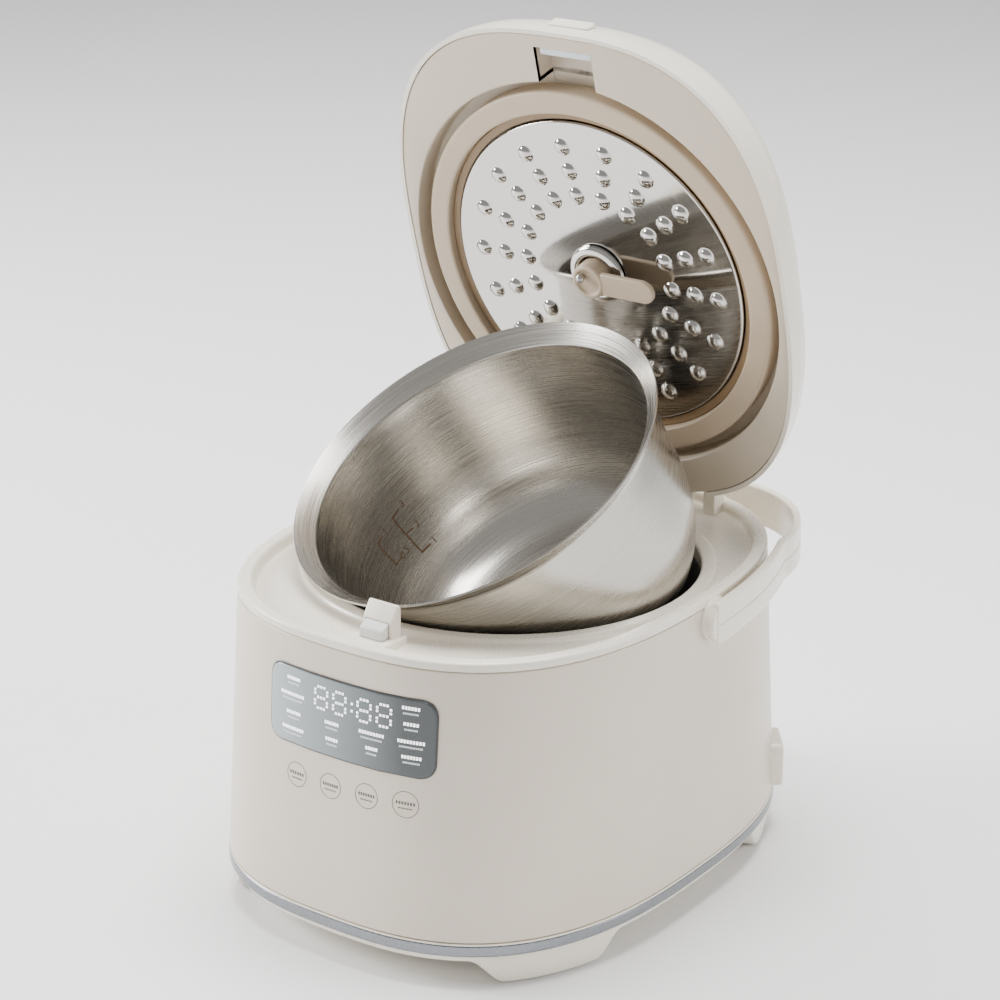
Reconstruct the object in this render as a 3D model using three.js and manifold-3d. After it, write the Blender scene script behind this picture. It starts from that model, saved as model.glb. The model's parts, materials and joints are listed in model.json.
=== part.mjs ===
// Countertop rice cooker with its lid open and its inner pot propped in the well.
// Millimetres, +Z up, +Y to the back, -Y to the front panel, floor at z = 0.
import * as THREE from 'three';
import { mergeVertices } from 'three/addons/utils/BufferGeometryUtils.js';
import Module from 'manifold-3d';

const wasm = await Module();
wasm.setup();

// ---- Driving dimensions ----
const SIDES = 40; // facets round every large ring
const FOOT_SIDES = 16; // facets round each foot
const GAP = 0.3; // clearance between pieces that touch

const BODY = { halfX: 130, halfY: 163.3, power: 2.67, topHalfX: 125.2, topHalfY: 151.7, topPower: 2.6 };
const BAND = { low: 18.9, high: 26.4 };
const SHELL = { low: 26.8, high: 175.4, wall: 2.2 };
const RIM = { top: 180.4, width: 7.5, floor: 174.4 };
const WELL = { y: 1.25, radius: 106.2, lipTop: 176.6, stepRadius: 114.2 };
const LINER = { radius: 106.6, wall: 1, top: 167.4, bottom: 46.3 };
const HEATER = { radius: 96, low: 47.6, top: 56.9, hole: 14 };
const SENSOR = { radius: 12.6, top: 59.4, low: 53.5, springRadius: 9, seat: 39.7, cupRadius: 20 };
const BOARDS = { displayLow: 120, displayHigh: 156, controlBack: -129.4, powerLow: 20, thick: 1.6 };

const LID = { halfX: 126.2, halfY: 144.5, power: 2.72, face: 182, wall: 2.4, ringY: 5.3, open: 74.3 };
const RECESS = { radius: 119.4, top: 196 };
const HINGE = { y: 132.7, z: 200.5, pin: 2.5, bore: 3.2, lugX: 51, bossX: 38, ear: 5.6, half: 4, coil: 4.7 };
const SEAL = { inner: 99.6, outer: 113, low: 184, lip: 95, lipLow: 188.4, lipHigh: 193 };
const PLATE = { radius: 94, low: 187.2, thick: 1, hole: 13.5, rim: 4 };
const VALVE = { bore: 11, ring: 17.6, ringLow: 184.4, cap: 10.5, capLow: 176.4, high: 190, floatX: -3.2,
  floatY: -3.2 };
const TAB = { near: 11, far: 38, half: 7, low: 177.2, thick: 3 };
const SLOT = { x: 3.8, halfX: 18.5, front: -134.5, back: -112 };
const VENT = { y: 62, radius: 20.6, low: 212, high: 223.6 };
const BUTTON = { half: 13, low: 190.5, high: 198.5, proud: 2.2, deep: 7 };

const POT = { flange: 108.7, top: 181.3, thick: 1.2, depth: 124, neck: 99.5, belly: 98.3 };
// The seated pot turns about this line to reach the pose in which it is propped.
const TIP = { y: -129.309, z: 157.361, axis: [-0.946, 0.315, 0.08], degrees: 31.14 };

const BAIL = { y: 14.1, z: 167.2, tilt: 2.7, outer: 133.1, corner: 119.1, bend: 62.9, reach: 148.2,
  end: 8.2, thick: 4.6, width: 24, pin: 3.5, boss: 12, bossX: 126.4 };
const LATCH = { x: 12.2, width: 19, front: -131.2, back: -122.9, top: 196, catchHalf: 7.4, catchLow: 175.2 };
const WINDOW = { left: -43, right: 62.2, low: 114.8, high: 161, round: 7 };
const INLET = { x: 108.4, y: 115.2, z: 41, turn: 38, width: 29, height: 27, socketWidth: 22,
  socketHeight: 15 };
const FOOT = { x: 74, y: 104, padRadius: 12 };

// ---- Finishes ----
const finish = (color, roughness, metalness = 0) =>
  new THREE.MeshStandardMaterial({ color, roughness, metalness });
const PEARL = finish(0xe4dacb, 0.42);
const CREAM = finish(0xf1eadc, 0.28);
const LID_CREAM = finish(0xe9e1d2, 0.35);
const SILVER = finish(0xa9adb1, 0.35, 0.8);
const STEEL = finish(0xb9b6b0, 0.32, 1);
const MIRROR = finish(0xc9c6c0, 0.12, 1);
const ALUMINIUM = finish(0x9fa2a4, 0.5, 1);
const SILICONE = finish(0xd3c4ab, 0.6);
const RUBBER = finish(0x55524d, 0.85);
const SMOKED = finish(0x8f9a9b, 0.1);
const BOARD = finish(0x2f5a3c, 0.6);
const BLACK = finish(0x232323, 0.5);

// ---- Surfaces and solids ----
const isRing = (entry) => Array.isArray(entry);

// One ring of points on a superellipse: |x/halfX|^power + |y/halfY|^power = 1.
function oval(halfX, halfY, power, z, centreY = 0, sides = SIDES) {
  const points = [];
  for (let i = 0; i < sides; i++) {
    const c = Math.cos((i / sides) * 2 * Math.PI);
    const s = Math.sin((i / sides) * 2 * Math.PI);
    const x = halfX * Math.sign(c) * Math.abs(c) ** (2 / power);
    const y = halfY * Math.sign(s) * Math.abs(s) ** (2 / power);
    points.push(new THREE.Vector3(x, centreY + y, z));
  }
  return points;
}
const circle = (radius, z, centreY) => oval(radius, radius, 2, z, centreY);
const pole = (z, centreY = 0) => new THREE.Vector3(0, centreY, z);

// The body's outline at a height, drawn in by an inset.
function bodyRing(inset, z) {
  const share = THREE.MathUtils.clamp((z - BAND.low) / (RIM.top - BAND.low), 0, 1);
  const mix = (low, high) => low + (high - low) * share;
  return oval(mix(BODY.halfX, BODY.topHalfX) - inset, mix(BODY.halfY, BODY.topHalfY) - inset,
    mix(BODY.power, BODY.topPower), z);
}
const lidRing = (inset, z) => oval(LID.halfX - inset, LID.halfY - inset, LID.power, z);

// A closed skin over rings taken in order round the section; a lone point closes an end.
function skin(entries, sides = SIDES) {
  const positions = [];
  const starts = entries.map((entry) => {
    const start = positions.length / 3;
    for (const p of isRing(entry) ? entry : [entry]) positions.push(p.x, p.y, p.z);
    return start;
  });
  const index = [];
  entries.forEach((entry, k) => {
    const next = (k + 1) % entries.length;
    const lower = isRing(entry);
    const upper = isRing(entries[next]);
    for (let i = 0; i < sides && (lower || upper); i++) {
      const j = (i + 1) % sides;
      const a = starts[k];
      const b = starts[next];
      if (lower) index.push(a + i, a + j, b + (upper ? j : 0));
      if (upper) index.push(a + (lower ? i : 0), b + j, b + i);
    }
  });
  const geometry = new THREE.BufferGeometry();
  geometry.setAttribute('position', new THREE.Float32BufferAttribute(positions, 3));
  geometry.setIndex(index);
  return tidy(geometry);
}

// Six times the signed volume that a mesh encloses.
function signedVolume(position, index) {
  const [a, b, c] = [new THREE.Vector3(), new THREE.Vector3(), new THREE.Vector3()];
  let sum = 0;
  for (let i = 0; i < index.length; i += 3) {
    a.fromBufferAttribute(position, index[i]);
    b.fromBufferAttribute(position, index[i + 1]);
    c.fromBufferAttribute(position, index[i + 2]);
    sum += a.dot(b.cross(c));
  }
  return sum;
}

// Merges shared corners, drops empty triangles and turns the faces outwards.
function tidy(geometry) {
  const bare = geometry.clone();
  bare.deleteAttribute('normal');
  bare.deleteAttribute('uv');
  const merged = mergeVertices(bare, 1e-4);
  const all = Array.from(merged.index.array);
  const kept = [];
  for (let i = 0; i < all.length; i += 3) {
    const [a, b, c] = all.slice(i, i + 3);
    if (a !== b && b !== c && c !== a) kept.push(a, b, c);
  }
  if (signedVolume(merged.attributes.position, kept) < 0) kept.reverse();
  merged.setIndex(kept);
  return merged;
}

function toSolid(geometry) {
  const merged = tidy(geometry);
  const vertProperties = Float32Array.from(merged.attributes.position.array);
  const triVerts = Uint32Array.from(merged.index.array);
  return new wasm.Manifold(new wasm.Mesh({ numProp: 3, vertProperties, triVerts }));
}

function fromSolid(solid) {
  const mesh = solid.getMesh();
  const geometry = new THREE.BufferGeometry();
  geometry.setAttribute('position', new THREE.Float32BufferAttribute(mesh.vertProperties, 3));
  geometry.setIndex(Array.from(mesh.triVerts));
  return geometry;
}
const cut = (geometry, ...tools) =>
  fromSolid(tools.reduce((solid, tool) => solid.subtract(toSolid(tool)), toSolid(geometry)));
const join = (geometry, ...others) =>
  fromSolid(others.reduce((solid, other) => solid.add(toSolid(other)), toSolid(geometry)));

// A box between two corners.
function block(low, high) {
  const size = high.map((value, i) => value - low[i]);
  const geometry = new THREE.BoxGeometry(...size);
  return geometry.translate(...low.map((value, i) => value + size[i] / 2));
}

// A round rod from one height to another, standing on Z.
const rod = (radius, low, high, x = 0, y = 0, sides = 24) =>
  new THREE.CylinderGeometry(radius, radius, high - low, sides)
    .rotateX(Math.PI / 2).translate(x, y, (low + high) / 2);

// A round rod lying along X.
const crossRod = (radius, left, right, y, z, sides = 24) =>
  new THREE.CylinderGeometry(radius, radius, right - left, sides)
    .rotateZ(Math.PI / 2).translate((left + right) / 2, y, z);

// A profile of [radius, height] points turned about a vertical line.
function turned(profile, x = 0, y = 0, sides = SIDES, loop = true) {
  const points = profile.map(([radius, z]) => new THREE.Vector2(radius, z));
  if (loop) points.push(points[0].clone());
  return new THREE.LatheGeometry(points, sides).rotateX(Math.PI / 2).translate(x, y, 0);
}

// A side profile in (y, z), given thickness along X.
function sidePlate(shape, left, right) {
  const axes = new THREE.Matrix4().makeBasis(
    new THREE.Vector3(0, 1, 0), new THREE.Vector3(0, 0, 1), new THREE.Vector3(1, 0, 0));
  const depth = right - left;
  const geometry = new THREE.ExtrudeGeometry(shape, { depth, bevelEnabled: false, curveSegments: 8 });
  return geometry.applyMatrix4(axes).translate(left, 0, 0);
}

function polygon(points) {
  return new THREE.Shape(points.map(([x, y]) => new THREE.Vector2(x, y)));
}

// An ear with a round head on the hinge line and a straight foot.
function hingeEar(x, bore, footLow) {
  const shape = new THREE.Shape();
  shape.moveTo(HINGE.y - HINGE.ear, footLow);
  shape.lineTo(HINGE.y + HINGE.ear, footLow);
  shape.lineTo(HINGE.y + HINGE.ear, HINGE.z);
  shape.absarc(HINGE.y, HINGE.z, HINGE.ear, 0, Math.PI, false);
  const hole = new THREE.Path();
  hole.absarc(HINGE.y, HINGE.z, bore, 0, 2 * Math.PI, true);
  shape.holes.push(hole);
  return sidePlate(shape, x - HINGE.half, x + HINGE.half);
}

const cooker = new THREE.Group();
const lid = new THREE.Group();
const pot = new THREE.Group();

function add(group, name, geometry, material) {
  const mesh = new THREE.Mesh(tidy(geometry), material);
  mesh.name = name;
  group.add(mesh);
}

// ---- Body ----
function bodyShell() {
  const { low, high, wall } = SHELL;
  const tube = skin([bodyRing(0, low), bodyRing(0, high), bodyRing(wall, high), bodyRing(wall, low)]);
  const pivots = crossRod(BAIL.pin + GAP, -BODY.halfX - 5, BODY.halfX + 5, BAIL.y, BAIL.z);
  return cut(tube, pivots, inletBlock(GAP, 20));
}

// A block square to the inlet's facing, grown by a margin.
function inletBlock(margin, depth) {
  const { width, height } = INLET;
  const box = new THREE.BoxGeometry(depth * 2, width + margin * 2, height + margin * 2);
  return box.rotateZ(THREE.MathUtils.degToRad(INLET.turn)).translate(INLET.x, INLET.y, INLET.z);
}

// A point in front of the inlet's centre, in its own facing directions.
function atInlet(geometry, out, across) {
  return geometry.translate(out, across, 0)
    .rotateZ(THREE.MathUtils.degToRad(INLET.turn)).translate(INLET.x, INLET.y, INLET.z);
}

function powerInlet() {
  const housing = atInlet(new THREE.BoxGeometry(16, INLET.width, INLET.height), -5, 0);
  const socket = atInlet(new THREE.BoxGeometry(24, INLET.socketWidth, INLET.socketHeight), 3, 0);
  return cut(housing, socket);
}

function topFrame() {
  const { top, width, floor } = RIM;
  const { y, radius, lipTop, stepRadius } = WELL;
  const low = SHELL.high + 0.4;
  const deck = skin([
    bodyRing(0, low), bodyRing(0, top - 1.6), bodyRing(0.5, top - 0.5), bodyRing(1.6, top),
    bodyRing(width - 1.2, top), bodyRing(width, top - 1), bodyRing(width + 0.8, floor),
    circle(stepRadius + 1, floor, y), circle(stepRadius, lipTop, y), circle(radius + 2, lipTop, y),
    circle(radius + 0.4, lipTop - 1.2, y), circle(radius, lipTop - 3, y), circle(radius, LINER.top + GAP, y),
    circle(radius + 2, LINER.top + GAP, y), circle(radius + 2.4, floor - 2.4, y),
    bodyRing(width + 4, floor - 2.4), bodyRing(5, floor - 3), bodyRing(SHELL.wall + GAP, floor - 3),
    bodyRing(SHELL.wall + GAP, low),
  ]);
  const ears = [-1, 1].map((side) => hingeEar(side * HINGE.lugX, HINGE.pin + GAP, floor - 1.5));
  return join(deck, ...ears);
}

function trimRing() {
  const { low, high } = BAND;
  return skin([bodyRing(0.4, low), bodyRing(-0.2, low + 1), bodyRing(-0.2, high - 1.2),
    bodyRing(0.3, high), bodyRing(2.6, high), bodyRing(2.6, low)]);
}

function baseTray() {
  const tray = skin([
    pole(6), bodyRing(14, 6), bodyRing(4, 9), bodyRing(2.6, BAND.low - GAP),
    bodyRing(5, BAND.low - GAP), bodyRing(6.4, 11.5), bodyRing(16, 8.5), pole(8.5),
  ]);
  const feet = corners().map(([x, y]) => {
    const centre = new THREE.Vector3(x, y, 0);
    const step = (halfX, halfY, z) => oval(halfX, halfY, 3, z, 0, FOOT_SIDES).map((p) => p.add(centre));
    const tip = (z) => new THREE.Vector3(x, y, z);
    return skin([tip(1.6), step(23, 20, 1.6), step(25, 22, 4.2), step(30, 27, 6.2), tip(7.5)], FOOT_SIDES);
  });
  const vents = [-2, -1, 0, 1, 2].map((row) => block([-28, row * 14 - 2.2, 0], [28, row * 14 + 2.2, 12]));
  return cut(join(tray, ...feet), ...vents);
}

const corners = () => [[-1, -1], [1, -1], [1, 1], [-1, 1]].map(([x, y]) => [x * FOOT.x, y * FOOT.y]);

function wellLiner() {
  const { radius, wall, top, bottom } = LINER;
  const inner = HEATER.radius - 6;
  return turned([[inner, bottom], [radius + wall, bottom], [radius + wall, top], [radius, top],
    [radius, bottom + wall], [inner, bottom + wall]], 0, WELL.y);
}

function heatingPlate() {
  const { radius, low, top, hole } = HEATER;
  return turned([[hole, low], [radius, low], [radius, top - 3], [radius - 3, top - 0.6],
    [radius - 6, top], [hole, top]], 0, WELL.y);
}

// A curved sheet that follows the front of the body, cut to the window's rounded outline.
function displayWindow() {
  const { left, right, low, high, round } = WINDOW;
  const sheet = skin([bodyRing(-1.3, low - 5), bodyRing(-1.3, high + 5), bodyRing(-GAP, high + 5),
    bodyRing(-GAP, low - 5)]);
  const outline = new THREE.Shape();
  outline.moveTo(left + round, low);
  outline.absarc(right - round, low + round, round, -Math.PI / 2, 0, false);
  outline.absarc(right - round, high - round, round, 0, Math.PI / 2, false);
  outline.absarc(left + round, high - round, round, Math.PI / 2, Math.PI, false);
  outline.absarc(left + round, low + round, round, Math.PI, Math.PI * 1.5, false);
  const prism = new THREE.ExtrudeGeometry(outline, { depth: 100, bevelEnabled: false, curveSegments: 5 })
    .rotateX(Math.PI / 2).translate(0, -90, 0);
  return fromSolid(toSolid(sheet).intersect(toSolid(prism)));
}

function latchPost() {
  const { x, width, front, back, top } = LATCH;
  const low = RIM.floor + GAP;
  const shape = polygon([[front, low], [back, low], [back, top - 2.5], [back - 2, top], [front + 3, top],
    [front, top - 4]]);
  const post = sidePlate(shape, x - width / 2, x + width / 2);
  return cut(post, block([x - 7.8, front - 1, low - 1], [x + 7.8, back - 3, 183]));
}

function addBody() {
  add(cooker, 'outer_shell', bodyShell(), PEARL);
  add(cooker, 'top_frame', topFrame(), CREAM);
  add(cooker, 'trim_ring', trimRing(), SILVER);
  add(cooker, 'base_tray', baseTray(), CREAM);
  corners().forEach(([x, y], i) => {
    add(cooker, `foot_pad_${i + 1}`, rod(FOOT.padRadius, 0, 1.3, x, y), RUBBER);
    add(cooker, `base_screw_${i + 1}`, rod(3.4, 4, 6 - GAP, x * 0.62, y * 0.62, 12), STEEL);
  });
  add(cooker, 'well_liner', wellLiner(), ALUMINIUM);
  add(cooker, 'heating_plate', heatingPlate(), ALUMINIUM);
  add(cooker, 'power_inlet', powerInlet(), BLACK);
  [-1, 1].forEach((side, i) => {
    const pin = atInlet(new THREE.BoxGeometry(4.4, 2, 6), -6.4, side * 5);
    add(cooker, `inlet_pin_${i + 1}`, pin, STEEL);
  });
  add(cooker, 'display_window', displayWindow(), SMOKED);
  addBoards();
  add(cooker, 'latch_post', latchPost(), CREAM);
  addHinge();
  [-1, 1].forEach(addPivot);
}

function addBoards() {
  const { displayLow, displayHigh, controlBack, powerLow, thick } = BOARDS;
  add(cooker, 'display_module', block([-34, -141, displayLow], [53, -134, displayHigh]), BLACK);
  add(cooker, 'control_board', block([-42, controlBack - thick, 84], [60, controlBack, 158]), BOARD);
  add(cooker, 'power_board', block([-50, -42, powerLow], [42, 34, powerLow + thick]), BOARD);
}

function addHinge() {
  const end = HINGE.lugX + HINGE.half + 0.4;
  add(cooker, 'hinge_pin', crossRod(HINGE.pin, -end, end, HINGE.y, HINGE.z), STEEL);
  const reach = HINGE.bossX - HINGE.half - 4;
  const wound = crossRod(HINGE.coil, -reach, reach, HINGE.y, HINGE.z);
  const middle = crossRod(HINGE.pin + 0.5, -reach - 1, reach + 1, HINGE.y, HINGE.z);
  add(cooker, 'hinge_spring', cut(wound, middle), STEEL);
}

// The boss and pin that carry one end of the handle.
function addPivot(side) {
  const { outer, thick, pin, boss, bossX, y, z } = BAIL;
  const name = side < 0 ? 'left' : 'right';
  const inner = outer - thick - GAP * 2.5;
  const ends = (near, far) => [side * near, side * far].sort((a, b) => a - b);
  const bore = crossRod(pin + GAP, ...ends(bossX - 6, inner + 5), y, z);
  add(cooker, `handle_boss_${name}`, cut(crossRod(boss, ...ends(bossX, inner), y, z), bore), CREAM);
  add(cooker, `handle_pin_${name}`, crossRod(pin, ...ends(bossX - 10, outer - 2), y, z), STEEL);
}

// ---- Temperature sensor under the pot ----
function addSensor() {
  const { radius, top, low, springRadius, seat, cupRadius } = SENSOR;
  const cap = turned([[0, low], [radius, low], [radius, top - 1], [radius - 1, top], [0, top]],
    0, WELL.y, 24, false);
  add(cooker, 'sensor_cap', cap, ALUMINIUM);
  const coil = [[springRadius - 2.5, seat + GAP], [springRadius, seat + GAP], [springRadius, low - GAP],
    [springRadius - 2.5, low - GAP]];
  add(cooker, 'sensor_spring', turned(coil, 0, WELL.y, 16), STEEL);
  const wall = 1.4;
  const plateLow = HEATER.low - GAP;
  const cup = turned([[0, seat - wall], [cupRadius, seat - wall], [cupRadius, plateLow],
    [cupRadius - wall, plateLow], [cupRadius - wall, seat], [0, seat]], 0, WELL.y, 24, false);
  add(cooker, 'sensor_bracket', cup, STEEL);
}

// ---- Carrying handle: a flat strap bent into a U ----
function bailOutline() {
  const { outer, corner, bend, reach, end, thick } = BAIL;
  const straight = reach - bend;
  const half = (inset) => {
    const points = [[outer - inset, -end]];
    for (let i = 0; i < 6; i++) {
      const share = i / 6;
      points.push([outer - inset - (outer - corner) * share ** 2.2, straight * share]);
    }
    for (let i = 0; i <= 10; i++) {
      const t = (i / 10) * (Math.PI / 2);
      const radius = bend - inset;
      points.push([corner - bend + radius * Math.cos(t), reach - bend + radius * Math.sin(t)]);
    }
    return points;
  };
  const mirrored = (points) => points.map(([x, y]) => [-x, y]).reverse();
  const outside = [...half(0), ...mirrored(half(0))];
  const inside = [...half(thick), ...mirrored(half(thick))];
  return polygon([...outside, ...inside.reverse()]);
}

function carryHandle() {
  const { outer, thick, width, pin, tilt } = BAIL;
  const strap = new THREE.ExtrudeGeometry(bailOutline(), { depth: width, bevelEnabled: false })
    .translate(0, 0, -width / 2);
  const bores = [-1, 1].map((side) => {
    const faces = [side * (outer - thick - 2), side * (outer - 1.6)].sort((a, b) => a - b);
    return crossRod(pin + GAP, ...faces, 0, 0);
  });
  return cut(strap, ...bores)
    .rotateX(THREE.MathUtils.degToRad(tilt)).translate(0, BAIL.y, BAIL.z);
}

function latchCatch() {
  const { x, front, catchHalf, catchLow: low } = LATCH;
  const high = low + 6.8;
  const shape = polygon([[front - 6, low], [front + 2.4, low], [front + 2.4, high], [front - 2.5, high],
    [front - 6, low + 3.4]]);
  return sidePlate(shape, x - catchHalf, x + catchHalf);
}

// ---- Lid, drawn closed ----
function lidCover() {
  const dome = skin([
    lidRing(0, LID.face - 0.4), lidRing(0, 197), lidRing(1.4, 207), lidRing(5, 214), lidRing(13, 218.6),
    lidRing(32, 221.2), pole(222.4), pole(220), lidRing(32, 218.8), lidRing(14, 216.2), lidRing(7.4, 212.2),
    lidRing(3.8, 206.2), lidRing(LID.wall, 197), lidRing(LID.wall, LID.face - 0.4),
  ]);
  return cut(dome, rod(VENT.radius + 0.5, 205, 230, 0, VENT.y), ...earNotches(), buttonBlock(0.4, 20));
}

// Clearance for the body's hinge ears all through the lid's swing.
const earNotches = () => [-1, 1].map((side) => {
  const [x, half] = [side * HINGE.lugX, HINGE.half + 0.8];
  return block([x - half, HINGE.y - HINGE.ear - 1, LID.face - 2], [x + half, LID.halfY + 3, 208]);
});

function buttonBlock(margin, depth) {
  const { half, low, high, proud, deep } = BUTTON;
  return block([SLOT.x - half - margin, -LID.halfY - proud - depth, low - margin],
    [SLOT.x + half + margin, -LID.halfY + deep, high + margin]);
}

function lidFrame() {
  const { face, ringY } = LID;
  const { radius, top } = RECESS;
  const wall = LID.wall + GAP;
  const bowl = skin([
    lidRing(wall, face), lidRing(wall, 190), lidRing(wall + 2.4, 190), lidRing(wall + 2.4, face + 2.5),
    circle(radius + 2.4, face + 2.5, ringY), circle(radius + 2.4, top + 2.4, ringY),
    circle(14, top + 2.4, ringY), circle(14, top, ringY), circle(radius, top, ringY),
    circle(radius, face, ringY),
  ]);
  const bosses = [-1, 1].map((side) => hingeEar(side * HINGE.bossX, HINGE.bore, face + 0.6));
  const { x, halfX, front, back } = SLOT;
  const slot = block([x - halfX, front, face - 2], [x + halfX, back, top + 0.5]);
  const backSpring = crossRod(5.2, -32, 32, HINGE.y, HINGE.z);
  return cut(join(bowl, ...bosses), slot, backSpring, ...earNotches(), buttonBlock(0.4, 20));
}

function sealHolder() {
  const { inner, outer, low } = SEAL;
  const top = RECESS.top - GAP;
  return turned([[inner, low + 1.4], [inner + 1.4, low], [outer - 1.4, low], [outer, low + 1.4], [outer, top],
    [inner, top]], 0, LID.ringY);
}

function lidGasket() {
  const { inner, lip, lipLow, lipHigh } = SEAL;
  const outer = inner - 0.4;
  return turned([[lip, lipLow], [outer, lipLow], [outer, lipHigh], [lip, lipHigh]], 0, LID.ringY);
}

function innerPlate() {
  const { radius, low, thick, hole, rim } = PLATE;
  return turned([[hole, low], [radius - 1, low], [radius, low + 1], [radius, low + rim],
    [radius - 1, low + rim], [radius - 1, low + thick], [hole, low + thick]], 0, LID.ringY);
}

function valveRing() {
  const { bore, ring, ringLow } = VALVE;
  const high = PLATE.low - GAP;
  return turned([[bore, ringLow], [ring - 2.2, ringLow], [ring, ringLow + 1.4], [ring, high], [bore, high]],
    0, LID.ringY, 32);
}

function valveCap() {
  const { cap, capLow, high, floatX, floatY } = VALVE;
  const disc = turned([[0, capLow], [cap - 0.9, capLow], [cap, capLow + 1], [cap, high], [0, high]],
    0, LID.ringY, 32, false);
  return cut(disc, rod(2.7, capLow - 6, high + 5, floatX, LID.ringY + floatY, 16));
}

function valveTab() {
  const shape = new THREE.Shape();
  const { near, far, half, low, thick } = TAB;
  shape.moveTo(near, -half);
  shape.lineTo(far - half, -half);
  shape.absarc(far - half, 0, half, -Math.PI / 2, Math.PI / 2, false);
  shape.lineTo(near, half);
  return new THREE.ExtrudeGeometry(shape, { depth: thick, bevelEnabled: false, curveSegments: 6 })
    .translate(0, LID.ringY, low);
}

function floatPin() {
  const { capLow, high, floatX, floatY } = VALVE;
  const low = capLow - 3.8;
  const bead = [[0, low], [1.6, low + 0.4], [2.6, low + 2], [2.6, low + 2.8], [1.9, low + 3.2],
    [1.9, high + 1], [0, high + 1]];
  return turned(bead, floatX, LID.ringY + floatY, 16, false);
}

function steamCap() {
  const { y, radius, low, high } = VENT;
  return turned([[0, low], [radius - 2, low], [radius, low + 2], [radius, high - 2], [radius - 2, high - 0.8],
    [0, high]], 0, y, 32, false);
}

function striker() {
  return block([SLOT.x - 14, SLOT.front + 0.4, LID.face + 0.8], [SLOT.x + 14, SLOT.front + 2.6, 190]);
}

function addLid() {
  add(lid, 'lid_cover', lidCover(), LID_CREAM);
  add(lid, 'lid_frame', lidFrame(), LID_CREAM);
  add(lid, 'seal_holder', sealHolder(), SILICONE);
  add(lid, 'lid_gasket', lidGasket(), SILICONE);
  add(lid, 'latch_striker', striker(), CREAM);
  add(lid, 'inner_plate', innerPlate(), MIRROR);
  add(lid, 'valve_ring', valveRing(), MIRROR);
  add(lid, 'valve_cap', valveCap(), SILICONE);
  add(lid, 'valve_tab', valveTab(), SILICONE);
  add(lid, 'float_pin', floatPin(), STEEL);
  add(lid, 'steam_cap', steamCap(), LID_CREAM);
  add(lid, 'release_button', buttonBlock(0, 0), CREAM);
}

// ---- Inner pot, drawn seated ----
function innerPot() {
  const { flange, top, thick, depth, neck, belly } = POT;
  const outside = [[0, depth], [38, depth], [58, depth - 3.4], [76, depth - 11], [87, depth - 22],
    [93.4, depth - 34], [97.2, depth - 50], [belly, 60], [neck, 30], [neck, 10], [neck + 2.6, 4.4]];
  const rim = [[flange - 1, 3.2], [flange, 1.6], [flange - 1.4, 0], [neck + 2, 1.6], [neck - thick, 9]];
  const inside = [[neck - thick, 30], ...outside.slice(3, 8).reverse().map(([radius, down]) =>
    [radius - thick, down - 0.5]), [57, depth - 4.6], [37.6, depth - thick], [0, depth - thick]];
  const profile = [...outside, ...rim, ...inside].map(([radius, down]) => [radius, top - down]);
  return turned(profile, 0, WELL.y, SIDES, false);
}

add(pot, 'inner_pot', innerPot(), STEEL);
const tipAxis = new THREE.Vector3(...TIP.axis).normalize();
const tipTurn = new THREE.Quaternion().setFromAxisAngle(tipAxis, THREE.MathUtils.degToRad(-TIP.degrees));
const tipPoint = new THREE.Vector3(0, TIP.y, TIP.z);
pot.quaternion.copy(tipTurn);
pot.position.copy(tipPoint).sub(tipPoint.clone().applyQuaternion(tipTurn));

addBody();
addSensor();
add(cooker, 'carry_handle', carryHandle(), CREAM);
add(cooker, 'latch_catch', latchCatch(), SILICONE);
addLid();
const swing = THREE.MathUtils.degToRad(-LID.open);
const hingeLine = new THREE.Vector3(0, HINGE.y, HINGE.z);
lid.rotation.x = swing;
lid.position.copy(hingeLine).sub(hingeLine.clone().applyEuler(new THREE.Euler(swing, 0, 0)));

// The origin is under the middle of everything, on the floor.
const riceCooker = new THREE.Group();
riceCooker.add(cooker, lid, pot);
const middle = new THREE.Box3().setFromObject(riceCooker, true).getCenter(new THREE.Vector3());
riceCooker.position.set(-middle.x, -middle.y, 0);

export default riceCooker;
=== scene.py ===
"""Looks of a countertop rice cooker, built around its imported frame.

Sizes are in millimetres and turn into metres as a mesh is made. The lid's pieces are shaped shut and
then swung open; the inner pot is shaped in its seat and then tipped out to where it is propped.
"""

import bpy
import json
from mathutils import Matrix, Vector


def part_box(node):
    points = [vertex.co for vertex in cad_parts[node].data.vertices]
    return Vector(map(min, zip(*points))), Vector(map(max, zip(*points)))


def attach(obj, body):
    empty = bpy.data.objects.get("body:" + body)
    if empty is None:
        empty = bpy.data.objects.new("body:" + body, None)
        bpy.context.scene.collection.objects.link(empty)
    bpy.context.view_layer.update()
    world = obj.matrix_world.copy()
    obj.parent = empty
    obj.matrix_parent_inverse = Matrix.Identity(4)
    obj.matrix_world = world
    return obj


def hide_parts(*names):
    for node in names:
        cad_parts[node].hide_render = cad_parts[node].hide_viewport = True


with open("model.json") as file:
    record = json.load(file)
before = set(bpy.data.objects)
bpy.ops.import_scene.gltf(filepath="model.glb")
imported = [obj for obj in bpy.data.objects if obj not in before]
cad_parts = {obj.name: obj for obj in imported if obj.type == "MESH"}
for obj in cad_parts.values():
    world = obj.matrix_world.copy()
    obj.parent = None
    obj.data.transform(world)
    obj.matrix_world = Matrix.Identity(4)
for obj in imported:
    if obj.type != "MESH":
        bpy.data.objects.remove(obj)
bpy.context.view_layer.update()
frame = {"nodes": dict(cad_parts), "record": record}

import json
import logging
from dataclasses import dataclass
from enum import Enum
from typing import Callable

import bmesh
import bpy
import numpy as np
from mathutils import Matrix, Vector

log = logging.getLogger("rice_cooker")
MM = 0.001
AROUND = 240
SHARP_ANGLE = np.radians(38)
SQUARE = np.array([[1, -1], [1, 1], [-1, 1], [-1, -1]])
# Half the width over which the window's painted reflection darkens, in metres, as Object coordinates are.
WINDOW_SPAN = 0.045
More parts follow.
